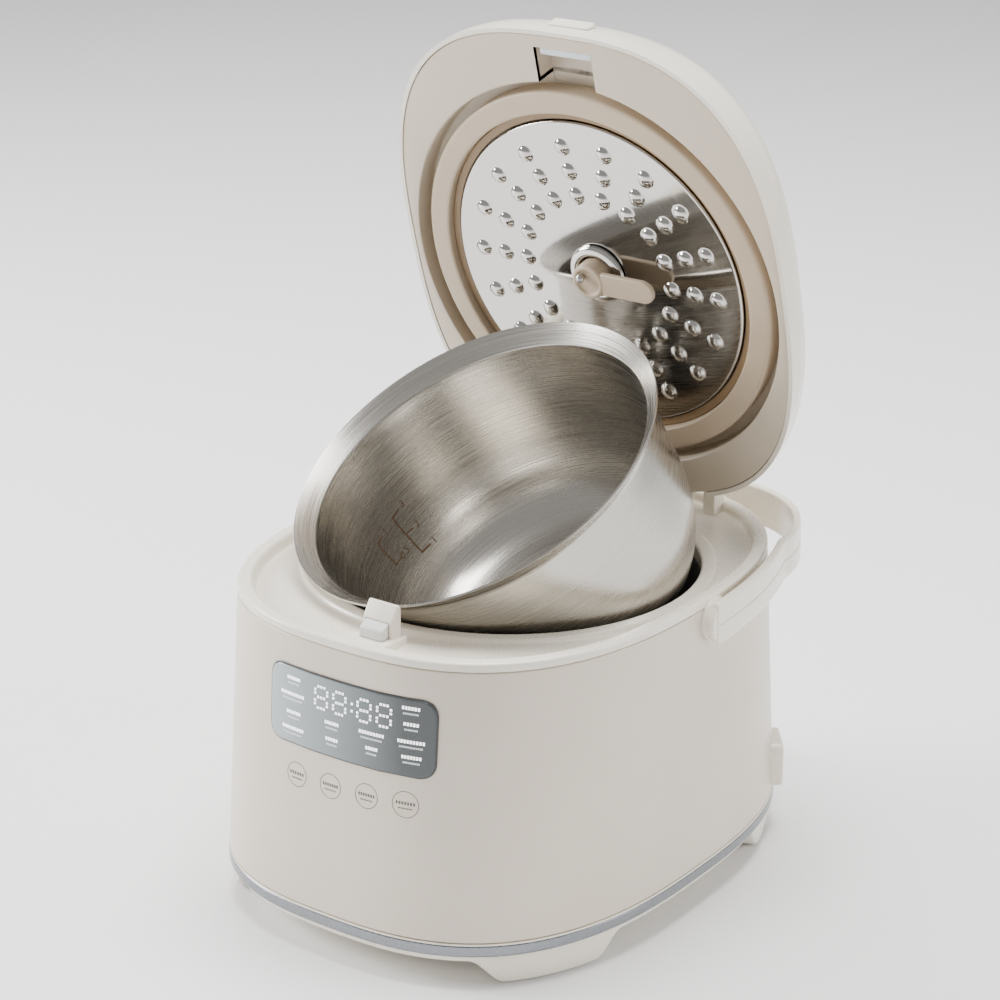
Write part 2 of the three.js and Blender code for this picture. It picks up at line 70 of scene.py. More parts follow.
# The hinge pin's middle, the round head of its ears and bosses, and half their thickness.
HINGE = np.array([0.0, 132.7, 200.5])
HINGE_RADIUS = 5.6
HINGE_HALF = 4.0
EAR_X = 51.0
BOSS_X = 38.0
MADE: dict[str, bpy.types.Material] = {}


# ---- Finishes ----
class Texture(Enum):
    """The ways in which a finish breaks up its surface; one of them paints a reflection on the window."""

    MOULDED = "moulded"
    SATIN = "satin"
    BRUSHED = "brushed"
    POLISHED = "polished"
    SOFT = "soft"
    PRINTED = "printed"
    # Painted reflection on the window: the colour darkens from its left to its right.
    PAINTED_REFLECTION = "painted_reflection"


@dataclass(frozen=True)
class Finish:
    """A surface finish, from which one material is made."""

    name: str
    colour: tuple[float, float, float]
    roughness: float
    texture: Texture
    metallic: float = 0.0
    coat: float = 0.0
    coat_roughness: float = 0.1
    depth: float = 0.00002
    grain: float = 900.0
    drift: float = 0.03
    glow: float = 0.0
    specular: float = 0.5

    def material(self) -> bpy.types.Material:
        """Makes the material, or finds the one made before.

        Returns:
            The material that shows this finish.
        """
        if self.name in MADE:
            return MADE[self.name]
        made = MADE[self.name] = bpy.data.materials.new(self.name)
        made.use_nodes = True
        tree = made.node_tree
        shader = tree.nodes["Principled BSDF"]
        shader.inputs["Base Color"].default_value = (*self.colour, 1)
        shader.inputs["Metallic"].default_value = self.metallic
        shader.inputs["Roughness"].default_value = self.roughness
        shader.inputs["Specular IOR Level"].default_value = self.specular
        shader.inputs["Coat Weight"].default_value = self.coat
        shader.inputs["Coat Roughness"].default_value = self.coat_roughness
        if self.glow:
            shader.inputs["Emission Color"].default_value = (*self.colour, 1)
            shader.inputs["Emission Strength"].default_value = self.glow
        if self.texture is not Texture.PRINTED:
            self._break_up(tree, shader)
        return made

    def _break_up(self, tree: bpy.types.NodeTree, shader: bpy.types.Node) -> None:
        """Adds fine grain to the bump and roughness, and a slow drift to the colour; on the window a painted
        reflection takes the drift's place.

        Args:
            tree: The material's nodes.
            shader: The node that the grain feeds.
        """
        place = self._place(tree)
        fine = self._noise(tree, place, self._fine_scale(), 4.0)
        slow = self._noise(tree, self._object_place(tree), 14.0, 2.0)
        bump = tree.nodes.new("ShaderNodeBump")
        bump.inputs["Strength"].default_value = 1.0
        bump.inputs["Distance"].default_value = self.depth
        tree.links.new(fine.outputs["Fac"], bump.inputs["Height"])
        tree.links.new(bump.outputs["Normal"], shader.inputs["Normal"])
        swing = 0.3 if self.texture is Texture.BRUSHED else 0.14
        rough = tree.nodes.new("ShaderNodeMapRange")
        rough.inputs["From Min"].default_value = 0.3
        rough.inputs["From Max"].default_value = 0.7
        rough.inputs["To Min"].default_value = self.roughness * (1 - swing)
        rough.inputs["To Max"].default_value = self.roughness * (1 + swing)
        tree.links.new(fine.outputs["Fac"], rough.inputs["Value"])
        tree.links.new(rough.outputs["Result"], shader.inputs["Roughness"])
        tint = tree.nodes.new("ShaderNodeValToRGB")
        for stop, place_on, sign in zip(tint.color_ramp.elements, (0.3, 0.7), (-1, 1)):
            stop.position = place_on
            stop.color = (*(min(c * (1 + sign * self.drift), 1) for c in self.colour), 1)
        # The window's colour carries a painted reflection, lighter at the left and darker to the right, in
        # place of the slow drift.
        if self.texture is Texture.PAINTED_REFLECTION:
            self._paint_reflection(tree, tint)
        else:
            streaks = fine if self.texture is Texture.BRUSHED else slow
            tree.links.new(streaks.outputs["Fac"], tint.inputs["Fac"])
        tree.links.new(tint.outputs["Color"], shader.inputs["Base Color"])

    def _paint_reflection(self, tree: bpy.types.NodeTree, tint: bpy.types.Node) -> None:
        """Paints a reflection on the window: darkens the colour evenly from the left of the window to its
        right.

        Args:
            tree: The material's nodes.
            tint: The colour ramp that the painted reflection feeds.
        """
        axes = tree.nodes.new("ShaderNodeSeparateXYZ")
        share = tree.nodes.new("ShaderNodeMapRange")
        share.inputs["From Min"].default_value = -WINDOW_SPAN
        share.inputs["From Max"].default_value = WINDOW_SPAN
        tree.links.new(self._object_place(tree), axes.inputs["Vector"])
        tree.links.new(axes.outputs["X"], share.inputs["Value"])
        tree.links.new(share.outputs["Result"], tint.inputs["Fac"])
        for stop, at, scale in zip(tint.color_ramp.elements, (0.0, 1.0), (1.0, 0.13)):
            stop.position = at
            stop.color = (*(c * scale for c in self.colour), 1)

    def _fine_scale(self) -> float:
        """Returns how many grains there are to a metre, or to a unit of the brushing."""
        return 1.0 if self.texture is Texture.BRUSHED else self.grain

    def _place(self, tree: bpy.types.NodeTree) -> bpy.types.NodeSocket:
        """Picks what the grain follows: the brushing for a brushed finish, otherwise the object.

        Args:
            tree: The material's nodes.

        Returns:
            The socket that gives the place.
        """
        if self.texture is not Texture.BRUSHED:
            return self._object_place(tree)
        brushing = tree.nodes.new("ShaderNodeAttribute")
        brushing.attribute_name = "brushing"
        return brushing.outputs["Vector"]

    @staticmethod
    def _object_place(tree: bpy.types.NodeTree) -> bpy.types.NodeSocket:
        """Returns the socket that gives a point's place on the object."""
        return tree.nodes.new("ShaderNodeTexCoord").outputs["Object"]

    @staticmethod
    def _noise(
        tree: bpy.types.NodeTree, place: bpy.types.NodeSocket, scale: float, detail: float
    ) -> bpy.types.Node:
        """Adds one noise pattern.

        Args:
            tree: The material's nodes.
            place: The socket that says where a point is.
            scale: How fine the pattern is.
            detail: How many finer layers it holds.

        Returns:
            The noise node.
        """
        noise = tree.nodes.new("ShaderNodeTexNoise")
        noise.inputs["Scale"].default_value = scale
        noise.inputs["Detail"].default_value = detail
        tree.links.new(place, noise.inputs["Vector"])
        return noise


PEARL = Finish("pearl_shell", (0.67, 0.59, 0.49), 0.36, Texture.SATIN, 0.1, 0.25, 0.22, 0.000012, 1800)
CREAM = Finish("cream_plastic", (0.86, 0.80, 0.69), 0.27, Texture.MOULDED, coat=0.25, depth=0.000008)
LID_CREAM = Finish("lid_plastic", (0.60, 0.515, 0.405), 0.36, Texture.MOULDED, depth=0.00001)
LID_COVER = Finish("lid_cover_plastic", (0.85, 0.79, 0.685), 0.25, Texture.MOULDED, coat=0.3, depth=0.000008)
STRIKER = Finish("striker_plastic", (0.66, 0.69, 0.72), 0.3, Texture.MOULDED, depth=0.000006)
CATCH = Finish("catch_plastic", (0.68, 0.68, 0.67), 0.35, Texture.MOULDED, depth=0.000006)
SILVER = Finish("silver_trim", (0.22, 0.232, 0.25), 0.27, Texture.SATIN, 0.85, depth=0.000008, grain=1600)
POT_STEEL = Finish("pot_steel", (0.52, 0.495, 0.455), 0.26, Texture.BRUSHED, 1.0, depth=0.000004, drift=0.07)
PLATE_STEEL = Finish("plate_steel", (0.54, 0.525, 0.50), 0.06, Texture.BRUSHED, 1.0, depth=0.0000006)
ALUMINIUM = Finish("aluminium", (0.30, 0.30, 0.30), 0.42, Texture.BRUSHED, 1.0, depth=0.00001, drift=0.05)
# Dark brown, used on the gasket: painted shade of the gap between the seal ring and the plate.
GAP_SHADE_SILICONE = Finish("silicone", (0.30, 0.20, 0.11), 0.5, Texture.SOFT, depth=0.00001)
PALE_SILICONE = Finish("pale_silicone", (0.50, 0.395, 0.28), 0.42, Texture.SOFT, depth=0.00001)
RUBBER = Finish("rubber_pad", (0.09, 0.088, 0.083), 0.8, Texture.SOFT, depth=0.00004, grain=1400)
# Smoked window: its colour carries a painted reflection that darkens from left to right.
SCREEN = Finish("smoked_window", (0.40, 0.46, 0.48), 0.12, Texture.PAINTED_REFLECTION, 0.1, 0.3, 0.05, 0.000001, 500)
SCREEN_EDGE = Finish("window_edge", (0.035, 0.035, 0.035), 0.3, Texture.MOULDED, depth=0.000004)
LIT = Finish("lit_digits", (1.0, 1.0, 1.0), 0.5, Texture.PRINTED, glow=2.2)
FAINT_PRINT = Finish("faint_print", (0.75, 0.80, 0.81), 0.5, Texture.PRINTED, glow=0.3)
GREY_PRINT = Finish("grey_print", (0.12, 0.11, 0.10), 0.55, Texture.PRINTED)
ETCHED = Finish("etched_mark", (0.13, 0.075, 0.04), 0.5, Texture.PRINTED, 0.3)
BOARD = Finish("circuit_board", (0.03, 0.15, 0.06), 0.45, Texture.MOULDED, depth=0.00002, grain=700,
               drift=0.2)
BLACK = Finish("black_plastic", (0.02, 0.02, 0.02), 0.45, Texture.MOULDED, depth=0.00002)
HARDWARE = Finish("hardware_steel", (0.50, 0.49, 0.47), 0.25, Texture.POLISHED, 1.0, depth=0.000006)
STUDIO_FLOOR = Finish("studio_floor", (0.92, 0.92, 0.92), 0.7, Texture.PRINTED, specular=0.1)


# ---- Surfaces on grids ----
@dataclass
class Patch:
    """A surface on a grid of points, in millimetres.

    Attributes:
        points: Places, by row, column and axis.
        wrap_rows: Whether the last row joins the first.
        brushing: What a brushed finish follows, the same shape as points.
    """

    points: np.ndarray
    wrap_rows: bool = False
    brushing: np.ndarray | None = None

    def moved(self, move: Callable[[np.ndarray], np.ndarray]) -> "Patch":
        """Returns the patch with a move applied to its points; its brushing stays with the metal."""
        brushing = self.points if self.brushing is None else self.brushing
        return Patch(move(self.points), self.wrap_rows, brushing)

    def faces(self) -> np.ndarray:
        """Joins each point to its neighbours in the next row and column.

        Returns:
            Four corners for each face, turned so that the faces look outwards.
        """
        rows, columns, _ = self.points.shape
        row = np.arange(rows if self.wrap_rows else rows - 1)[:, None]
        column = np.arange(columns)[None, :]
        below, above = row * columns, (row + 1) % rows * columns
        along = (column + 1) % columns
        corners = (below + column, below + along, above + along, above + column)
        faces = np.stack(np.broadcast_arrays(*corners), -1).reshape(-1, 4)
        a, b, c, d = (self.points.reshape(-1, 3)[faces[:, k]] for k in range(4))
        inside = np.einsum("ij,ij->", a, np.cross(b, c)) + np.einsum("ij,ij->", a, np.cross(c, d))
        return faces if inside > 0 else faces[:, ::-1]


def make_mesh(name: str, patches: list[Patch]) -> bpy.types.Mesh:
    """Makes one mesh of several patches, with seams and poles closed.

    Args:
        name: The mesh's name.
        patches: The surfaces that it holds.

    Returns:
        The mesh, in metres.
    """
    points = [patch.points.reshape(-1, 3) for patch in patches]
    starts = np.cumsum([0, *map(len, points)])
    faces = np.vstack([patch.faces() + start for patch, start in zip(patches, starts)])
    brushing = [p.points if p.brushing is None else p.brushing for p in patches]
    mesh = bpy.data.meshes.new(name)
    mesh.from_pydata((np.vstack(points) * MM).tolist(), [], faces.tolist())
    layer = mesh.attributes.new("brushing", "FLOAT_VECTOR", "POINT")
    layer.data.foreach_set("vector", np.vstack([b.reshape(-1, 3) for b in brushing]).ravel())
    return close_seams(mesh)


def close_seams(mesh: bpy.types.Mesh) -> bpy.types.Mesh:
    """Merges points that share a place, shades smoothly and keeps sharp edges sharp.

    Args:
        mesh: The mesh to finish.

    Returns:
        The same mesh.
    """
    work = bmesh.new()
    work.from_mesh(mesh)
    bmesh.ops.remove_doubles(work, verts=work.verts, dist=2e-6)
    bmesh.ops.dissolve_degenerate(work, edges=work.edges, dist=1e-7)
    work.to_mesh(mesh)
    work.free()
    mesh.polygons.foreach_set("use_smooth", np.ones(len(mesh.polygons), bool))
    mesh.set_sharp_from_angle(angle=SHARP_ANGLE)
    return mesh


def soften(
    corners: np.ndarray | list, radius: float | list, closed: bool = True, steps: int = 6
) -> np.ndarray:
    """Rounds the corners of a section of any number of columns.

    Each corner becomes a quadratic curve, (1-t)^2 start + 2t(1-t) corner + t^2 end, that starts and ends
    a radius away along the two sides, or at most 0.45 of a side.

    Args:
        corners: One corner to a row.
        radius: One radius, or one for each corner.
        closed: Whether the last corner joins the first.
        steps: How many steps each curve takes.

    Returns:
        The points of the rounded section.
    """
    corners = np.asarray(corners, float)
    radius = np.broadcast_to(np.asarray(radius, float), len(corners)).copy()
    if not closed:
        radius[[0, -1]] = 0
    sides = [np.roll(corners, shift, 0) - corners for shift in (1, -1)]
    ends = []
    for side in sides:
        length = np.linalg.norm(side, axis=1)
        reach = np.minimum(radius, 0.45 * length) / np.maximum(length, 1e-9)
        ends.append(corners + side * reach[:, None])
    t = np.linspace(0, 1, steps + 1)[None, :, None]
    curve = (1 - t) ** 2 * ends[0][:, None] + 2 * t * (1 - t) * corners[:, None] + t**2 * ends[1][:, None]
    return curve.reshape(-1, corners.shape[1])


def rings(rows: np.ndarray, around: int = AROUND) -> np.ndarray:
    """Carries a section round a superellipse: |x/half_x|^power + |(y-centre)/half_y|^power = 1.

    Args:
        rows: half_x, half_y, power, centre y and z for each row.
        around: How many points each ring has.

    Returns:
        The points, by row, column and axis.
    """
    half_x, half_y, power, centre, z = (column[:, None] for column in np.asarray(rows, float).T)
    turn = np.linspace(0, 2 * np.pi, around, endpoint=False)
    c, s = np.cos(turn), np.sin(turn)
    x = half_x * np.sign(c) * np.abs(c) ** (2 / power)
    y = centre + half_y * np.sign(s) * np.abs(s) ** (2 / power)
    return np.stack(np.broadcast_arrays(x, y, z), -1)


def turned(profile: np.ndarray | list, x: float = 0.0, y: float = 0.0, around: int = AROUND) -> Patch:
    """Turns a closed profile of radius and height about an upright line.

    Brushing runs round the line: it changes slowly along x and y, and fast along the profile.

    Args:
        profile: Radius and height for each row; a radius of 0 is a pole.
        x: Where the line stands.
        y: Where the line stands.
        around: How many points each ring has.

    Returns:
        The turned surface.
    """
    profile = np.asarray(profile, float)
    radius, height = profile.T
    rows = np.stack([radius, radius, np.full_like(radius, 2), np.zeros_like(radius), height], -1)
    points = rings(rows, around)
    step = np.linalg.norm(np.diff(profile, axis=0, prepend=profile[:1]), axis=1)
    along = np.broadcast_to(np.cumsum(step)[:, None], points.shape[:2])
    brushing = np.stack([points[..., 0] * 0.012, points[..., 1] * 0.012, along * 1.5], -1)
    return Patch(points + [x, y, 0], not np.isclose(radius[0], 0), brushing)


def slab(outline: np.ndarray, low: float, high: float, edge: float, rounds: int = 1) -> np.ndarray:
    """Gives an outline a thickness, with its two rims rounded by quarter circles.

    Near each face the outline draws in by edge (1 - sin t) while it rises by edge (1 - cos t); the faces
    then close on the outline's centre through a number of shrunken rounds.

    Args:
        outline: Points round a shape that its centre can see.
        low: Where the thickness starts.
        high: Where it ends.
        edge: The rims' radius.
        rounds: How many rounds each face has.

    Returns:
        Points by row and column, as two outline coordinates and the thickness.
    """
    ahead = np.roll(outline, -1, 0) - np.roll(outline, 1, 0)
    normal = np.stack([ahead[:, 1], -ahead[:, 0]], -1)
    normal /= np.maximum(np.linalg.norm(normal, axis=1, keepdims=True), 1e-9)
    area = np.sum(outline[:, 0] * np.roll(outline[:, 1], -1) - outline[:, 1] * np.roll(outline[:, 0], -1))
    normal *= np.sign(area)
    t = np.linspace(0, np.pi / 2, 5)
    inset, rise = edge * (1 - np.sin(t)), edge * (1 - np.cos(t))
    drawn = outline[None] - normal[None] * inset[:, None, None]
    centre = outline.mean(0)
    share = np.append(np.linspace(0, 1, rounds, endpoint=False), 0.975)[:, None, None]
    face = centre + (drawn[0][None] - centre) * share
    low_rows = np.concatenate([face, drawn])
    low_z = np.concatenate([np.full(rounds + 1, low), low + rise])
    high_z = np.concatenate([np.full(rounds + 1, high), high - rise])[::-1]
    flat = np.concatenate([low_rows, low_rows[::-1]])
    z = np.broadcast_to(np.concatenate([low_z, high_z])[:, None, None], (*flat.shape[:2], 1))
    return np.concatenate([flat, z], -1)


def rounded_box(width: float, height: float, radius: float, steps: int = 8) -> np.ndarray:
    """Returns a rectangle's outline about its own centre, with round corners and even sides."""
    x, y = width / 2, height / 2
    corners = soften([[x, -y], [x, y], [-x, y], [-x, -y]], radius, steps=steps)
    after = np.roll(corners, -1, 0)
    share = np.linspace(0, 1, 4, endpoint=False)[None, :, None]
    return (corners[:, None] + (after - corners)[:, None] * share).reshape(-1, 2)


def disc(radius: float, around: int = 48) -> np.ndarray:
    """Returns a circle's outline about its own centre."""
    turn = np.linspace(0, 2 * np.pi, around, endpoint=False)
    return np.stack([np.cos(turn), np.sin(turn)], -1) * radius


def along_x(points: np.ndarray) -> np.ndarray:
    """Returns slab points with the outline laid in y and z and the thickness along x."""
    return points[..., [2, 0, 1]]


def hinge_plate(x: float, foot_low: float, corner: float, edge: float) -> Patch:
    """Shapes an ear or a boss of the hinge: a round head about the pin over a straight foot.

    Args:
        x: The plate's middle.
        foot_low: Where its foot starts.
        corner: The radius of the foot's corners.
        edge: The radius of its rims.

    Returns:
        The plate.
    """
    turn = np.linspace(0, np.pi, 25)
    y, z = HINGE[1:]
    head = np.stack([np.cos(turn), np.sin(turn)], -1) * HINGE_RADIUS + [y, z]
    corners = [head[-1], [y - HINGE_RADIUS, foot_low], [y + HINGE_RADIUS, foot_low], head[0]]
    foot = soften(corners, corner, False)[7:-7]
    return Patch(along_x(slab(np.vstack([head, foot]), x - HINGE_HALF, x + HINGE_HALF, edge)))


def node_box(name: str) -> np.ndarray:
    """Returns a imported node's lowest and highest corners in millimetres."""
    return np.array([list(corner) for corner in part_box(name)]) / MM


def turn_about(points: np.ndarray, axis: np.ndarray, at: np.ndarray, angle: float) -> np.ndarray:
    """Turns points about a line in space.

    Args:
        points: Places in millimetres.
        axis: The line's direction.
        at: A point on the line.
        angle: How far to turn, in radians.

    Returns:
        The turned points.
    """
    matrix = np.array(Matrix.Rotation(angle, 3, Vector(axis)))
    return (points - at) @ matrix.T + at


def add_piece(
    name: str, patches: list[Patch], finish: Finish, body: str, stands_for: tuple[str, ...] = ()
) -> bpy.types.Object:
    """Puts a finished piece in the scene and ties it to the frame.

    Args:
        name: The piece's name.
        patches: Its surfaces.
        finish: Its finish.
        body: The body that it moves with.
        stands_for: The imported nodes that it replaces.

    Returns:
        The piece's object.
    """
    return tie(bpy.data.objects.new(name, make_mesh(name, patches)), finish, body, stands_for)


def tie(
    piece: bpy.types.Object, finish: Finish, body: str, stands_for: tuple[str, ...] = ()
) -> bpy.types.Object:
    """Links a piece, dresses it and says what it moves with and stands for.

    Args:
        piece: The new object.
        finish: Its finish.
        body: The body that it moves with.
        stands_for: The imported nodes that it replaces.

    Returns:
        The same object.
    """
    bpy.context.scene.collection.objects.link(piece)
    piece.data.materials.clear()
    piece.data.materials.append(finish.material())
    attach(piece, body)
    if stands_for:
        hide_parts(*stands_for)
    return piece


def dress_node(name: str, finish: Finish) -> None:
    """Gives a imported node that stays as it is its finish."""
    mesh = frame["nodes"][name].data
    mesh.materials.clear()
    mesh.materials.append(finish.material())


def cut_away(piece: bpy.types.Object, cutters: list[Patch]) -> None:
    """Cuts closed shapes out of a piece.

    Args:
        piece: The object to cut; its mesh is replaced.
        cutters: The shapes to take away.
    """
    for patch in cutters:
        cutter = bpy.data.objects.new("cutter", make_mesh("cutter", [patch]))
        bpy.context.scene.collection.objects.link(cutter)
        step = piece.modifiers.new("cut", "BOOLEAN")
        step.operation, step.solver, step.object = "DIFFERENCE", "EXACT", cutter
        bpy.context.view_layer.update()
        result = bpy.data.meshes.new_from_object(piece.evaluated_get(bpy.context.evaluated_depsgraph_get()))
        piece.modifiers.clear()
        piece.data = close_seams(result)
        bpy.data.objects.remove(cutter)


# ---- Body ----
@dataclass
class Body:
    """The cooker's casing: shell, trim, base tray with feet, and the pads and screws under it."""

    half_x: float = 130.0
    half_y: float = 163.3
    power: float = 2.67
    top_half_x: float = 125.2
    top_half_y: float = 151.7
    top_power: float = 2.6
    low: float = 18.9
    top: float = 180.4
    shell_wall: float = 2.2
    skirt_low: float = 14.6
    foot_low: float = 1.3
    foot_flat: float = 9.8
    foot_end: float = 16.6
    foot_middle: float = 44.5
    pan_low: float = 7.2
    pan_top: float = 10.8

    def rows(self, inset: np.ndarray | float, z: np.ndarray | float) -> np.ndarray:
        """Gives the casing's outline at some heights, drawn in by insets.

        Args:
            inset: How far each outline is drawn in.
            z: The heights.

        Returns:
            Rows for rings().
        """
        inset, z = np.broadcast_arrays(np.asarray(inset, float), np.asarray(z, float))
        share = np.clip((z - self.low) / (self.top - self.low), 0, 1)
        half_x = self.half_x + (self.top_half_x - self.half_x) * share - inset
        half_y = self.half_y + (self.top_half_y - self.half_y) * share - inset
        power = self.power + (self.top_power - self.power) * share
        return np.stack([half_x, half_y, power, np.zeros_like(z), z], -1)

    def section(self, corners: list[tuple[float, float]], radius: float | list) -> np.ndarray:
        """Returns the rings of a closed section of insets and heights with softened corners."""
        inset, z = soften(corners, radius).T
        return rings(self.rows(inset, z))

    def front(self, flat: np.ndarray) -> np.ndarray:
        """Lays x, z and a distance outwards on the curved front.

        The front's y is -half_y (1 - |x/half_x|^power)^(1/power), less the distance.

        Args:
            flat: Points as x, z and distance.

        Returns:
            The points in space.
        """
        x, z, out = np.moveaxis(flat, -1, 0)
        half_x, half_y, power, _, _ = np.moveaxis(self.rows(0.0, z), -1, 0)
        y = -half_y * (1 - np.abs(x / half_x) ** power) ** (1 / power) - out
        return np.stack([x, y, z], -1)

    def build(self) -> None:
        """Builds every casing piece."""
        low, high = node_box("outer_shell")[:, 2]
        wall = self.shell_wall
        shell = self.section([(0, low), (0, high), (wall, high), (wall, low)], 0.9)
        add_piece("outer_shell_panel", [Patch(shell, True)], PEARL, "cooker", ("outer_shell",))
        log.info("outer shell")
        self.build_trim()
        self.build_base()

    def build_trim(self) -> None:
        """Builds the silver band with the pale bead above it."""
        low, high = node_box("trim_ring")[:, 2]
        band = self.section([(0.4, low), (-0.2, low + 1), (-0.2, high - 1.5), (0.6, high - 0.9),
                             (2.6, high - 0.9), (2.6, low)], 0.4)
        bead = self.section([(-0.15, high - 1.1), (-0.15, high - 0.1), (2.4, high - 0.1),
                             (2.4, high - 1.1)], 0.3)
        add_piece("trim_band", [Patch(band, True)], SILVER, "cooker", ("trim_ring",))
        add_piece("trim_bead", [Patch(bead, True)], CREAM, "cooker")
        log.info("trim")

    def build_base(self) -> None:
        """Builds the base tray: a skirt whose lower edge dips at four feet in smooth S curves.

        A point's angle from the foot's middle gives a share between the flank's end and the flat foot;
        the share smoothed as 3s^2 - 2s^3 lowers the edge from the skirt to the foot.
        """
        tray_top = node_box("base_tray")[1, 2]
        outline = rings(self.rows(0.0, [tray_top]), 2 * AROUND)[0]
        angle = np.degrees(np.arctan2(np.abs(outline[:, 1]), np.abs(outline[:, 0])))
        from_end = self.foot_end - np.abs(angle - self.foot_middle)
        share = np.clip(from_end / (self.foot_end - self.foot_flat), 0, 1)
        share = share**2 * (3 - 2 * share)
        edge = self.skirt_low + (self.foot_low - self.skirt_low) * share
        inset = np.array([2.0, 1.7, 2.2, 3.0, 3.6, 4.6, 22.0, 24.0, 24.6, 25.0])
        down = np.array([0.0, 0.04, 0.5, 0.88, 0.97, 1.0, 1.0, 0.96])[:, None]
        inner = np.broadcast_to([[self.pan_low + 1.4], [self.pan_top - 0.7]], (2, len(edge)))
        grown = rings(self.rows(inset, np.full(len(inset), tray_top)), 2 * AROUND)
        skirt_z = np.concatenate([tray_top - (tray_top - edge) * down, inner])
        skirt = np.stack([grown[..., 0], grown[..., 1], skirt_z], -1)
        low, top = self.pan_low, self.pan_top
        pan_rows = self.rows([120, 20, 19, 19, 20, 120], [low, low, low + 0.6, top - 0.6, top, top])
        middle = np.zeros((1, AROUND, 3))
        plate = np.concatenate([middle + [0, 0, low], rings(pan_rows), middle + [0, 0, top]])
        add_piece("base_tray_skirt", [Patch(skirt, True), Patch(plate)], CREAM, "cooker",
                  ("base_tray",))
        for number in range(1, 5):
            dress_node(f"base_screw_{number}", HARDWARE)
            lowest, highest = node_box(f"foot_pad_{number}")
            x, y, _ = (lowest + highest) / 2
            pad = [(0, 0), (11.2, 0), (12, 0.5), (12, 1.4), (0, 1.4)]
            foot = turned(soften(pad, 0.3, False), x, y, 48)
            add_piece(f"foot_pad_disc_{number}", [foot], RUBBER, "cooker",
                      (f"foot_pad_{number}",))
        log.info("base tray and feet")


# ---- Top of the body ----
@dataclass
class Deck:
    """The top frame round the well, with its hinge ears, and the latch that stands on it."""

    body: Body
    rim_width: float = 7.5
    floor: float = 174.4
    well_y: float = 1.25
    well_radius: float = 106.2
    lip_top: float = 176.6
    step_radius: float = 114.2
    lip_low: float = 168.0
    shelf_top: float = 178.7
    shelf_y: float = -133.6
    shelf_depth: float = 25.0
    catch_low: float = 178.9
    catch_top: float = 187.0

    def circle_row(self, radius: float, z: float) -> list[float]:
        """Returns one round row about the well's middle for rings()."""
        return [radius, radius, 2.0, self.well_y, z]

    def body_row(self, inset: float, z: float) -> list[float]:
        """Returns one row that follows the body's outline for rings()."""
        return self.body.rows(inset, z).tolist()

    def build(self) -> None:
        """Builds the deck, its ears and the latch."""
        low = node_box("top_frame")[0, 2]
        seam = node_box("outer_shell")[1, 2] + 0.4
        top, width, floor, lip = self.body.top, self.rim_width, self.floor, self.lip_top
        corners = [
            self.body_row(0.0, seam), self.body_row(0.0, top), self.body_row(width, top),
            self.body_row(width + 1.4, floor), self.circle_row(self.step_radius + 1.6, floor),
            self.circle_row(self.step_radius, lip), self.circle_row(self.well_radius + 0.2, lip),
            self.circle_row(self.well_radius, self.lip_low),
            self.circle_row(self.well_radius + 2.2, self.lip_low),
            self.circle_row(self.well_radius + 2.6, floor - 2.4), self.body_row(width + 4, floor - 2.4),
            self.body_row(2.6, floor - 2.8), self.body_row(2.6, seam),
        ]
        radius = [0.5, 2.6, 2.6, 2.2, 1.5, 1.2, 2.4, 0.4, 0.4, 0.6, 0.6, 0.4, 0.3]
        deck = rings(soften(corners, radius))
        foot_low = max(low, floor - 1.2)
        ears = [hinge_plate(side * EAR_X, foot_low, 1.0, 0.7) for side in (-1, 1)]
        add_piece("deck_frame", [Patch(deck, True), *ears], CREAM, "cooker", ("top_frame",))
        log.info("deck")
        self.build_latch()

    def build_latch(self) -> None:
        """Builds the latch post with its sloped head, and the catch that looks out of its front."""
        (left, front, low), (right, back, top) = node_box("latch_post")
        outline = soften([[front, low], [back, low], [back, top - 1.4], [back - 2.6, top],
                          [front + 0.7, top - 7.6], [front, top - 9.2]], [1.2, 1.2, 1.4, 1.3, 1.6, 1.6])
        post = Patch(along_x(slab(outline, left, right, 0.9)))
        outline = rounded_box(right - left + 6, self.shelf_depth, 2.0, 5)
        shelf = slab(outline, self.floor - 1, self.shelf_top, 1.0)
        shelf[..., :2] += [(left + right) / 2, self.shelf_y]
        piece = add_piece("latch_post_body", [post], CREAM, "cooker", ("latch_post",))
        add_piece("latch_shelf", [Patch(shelf)], CREAM, "cooker")
        (c_left, c_front, _), (c_right, c_back, _) = node_box("latch_catch")
        c_low, c_high = self.catch_low, self.catch_top
        window = soften([[c_front - 3, c_low - 0.1], [c_back + 2.6, c_low - 0.1],
                         [c_back + 2.6, c_high + 0.2], [c_front - 3, c_high + 0.2]], 0.5)
        cut_away(piece, [Patch(along_x(slab(window, c_left - 0.3, c_right + 0.3, 0.2)))])
        nose = soften([[c_front, c_low], [c_back, c_low], [c_back, c_high], [front + 0.6, c_high],
                       [c_front + 0.8, c_low + 5.4]], [0.9, 0.7, 0.7, 0.9, 1.2])
        add_piece("latch_catch_nose", [Patch(along_x(slab(nose, c_left, c_right, 0.6)))], CATCH, "catch",
                  ("latch_catch",))
        log.info("latch")


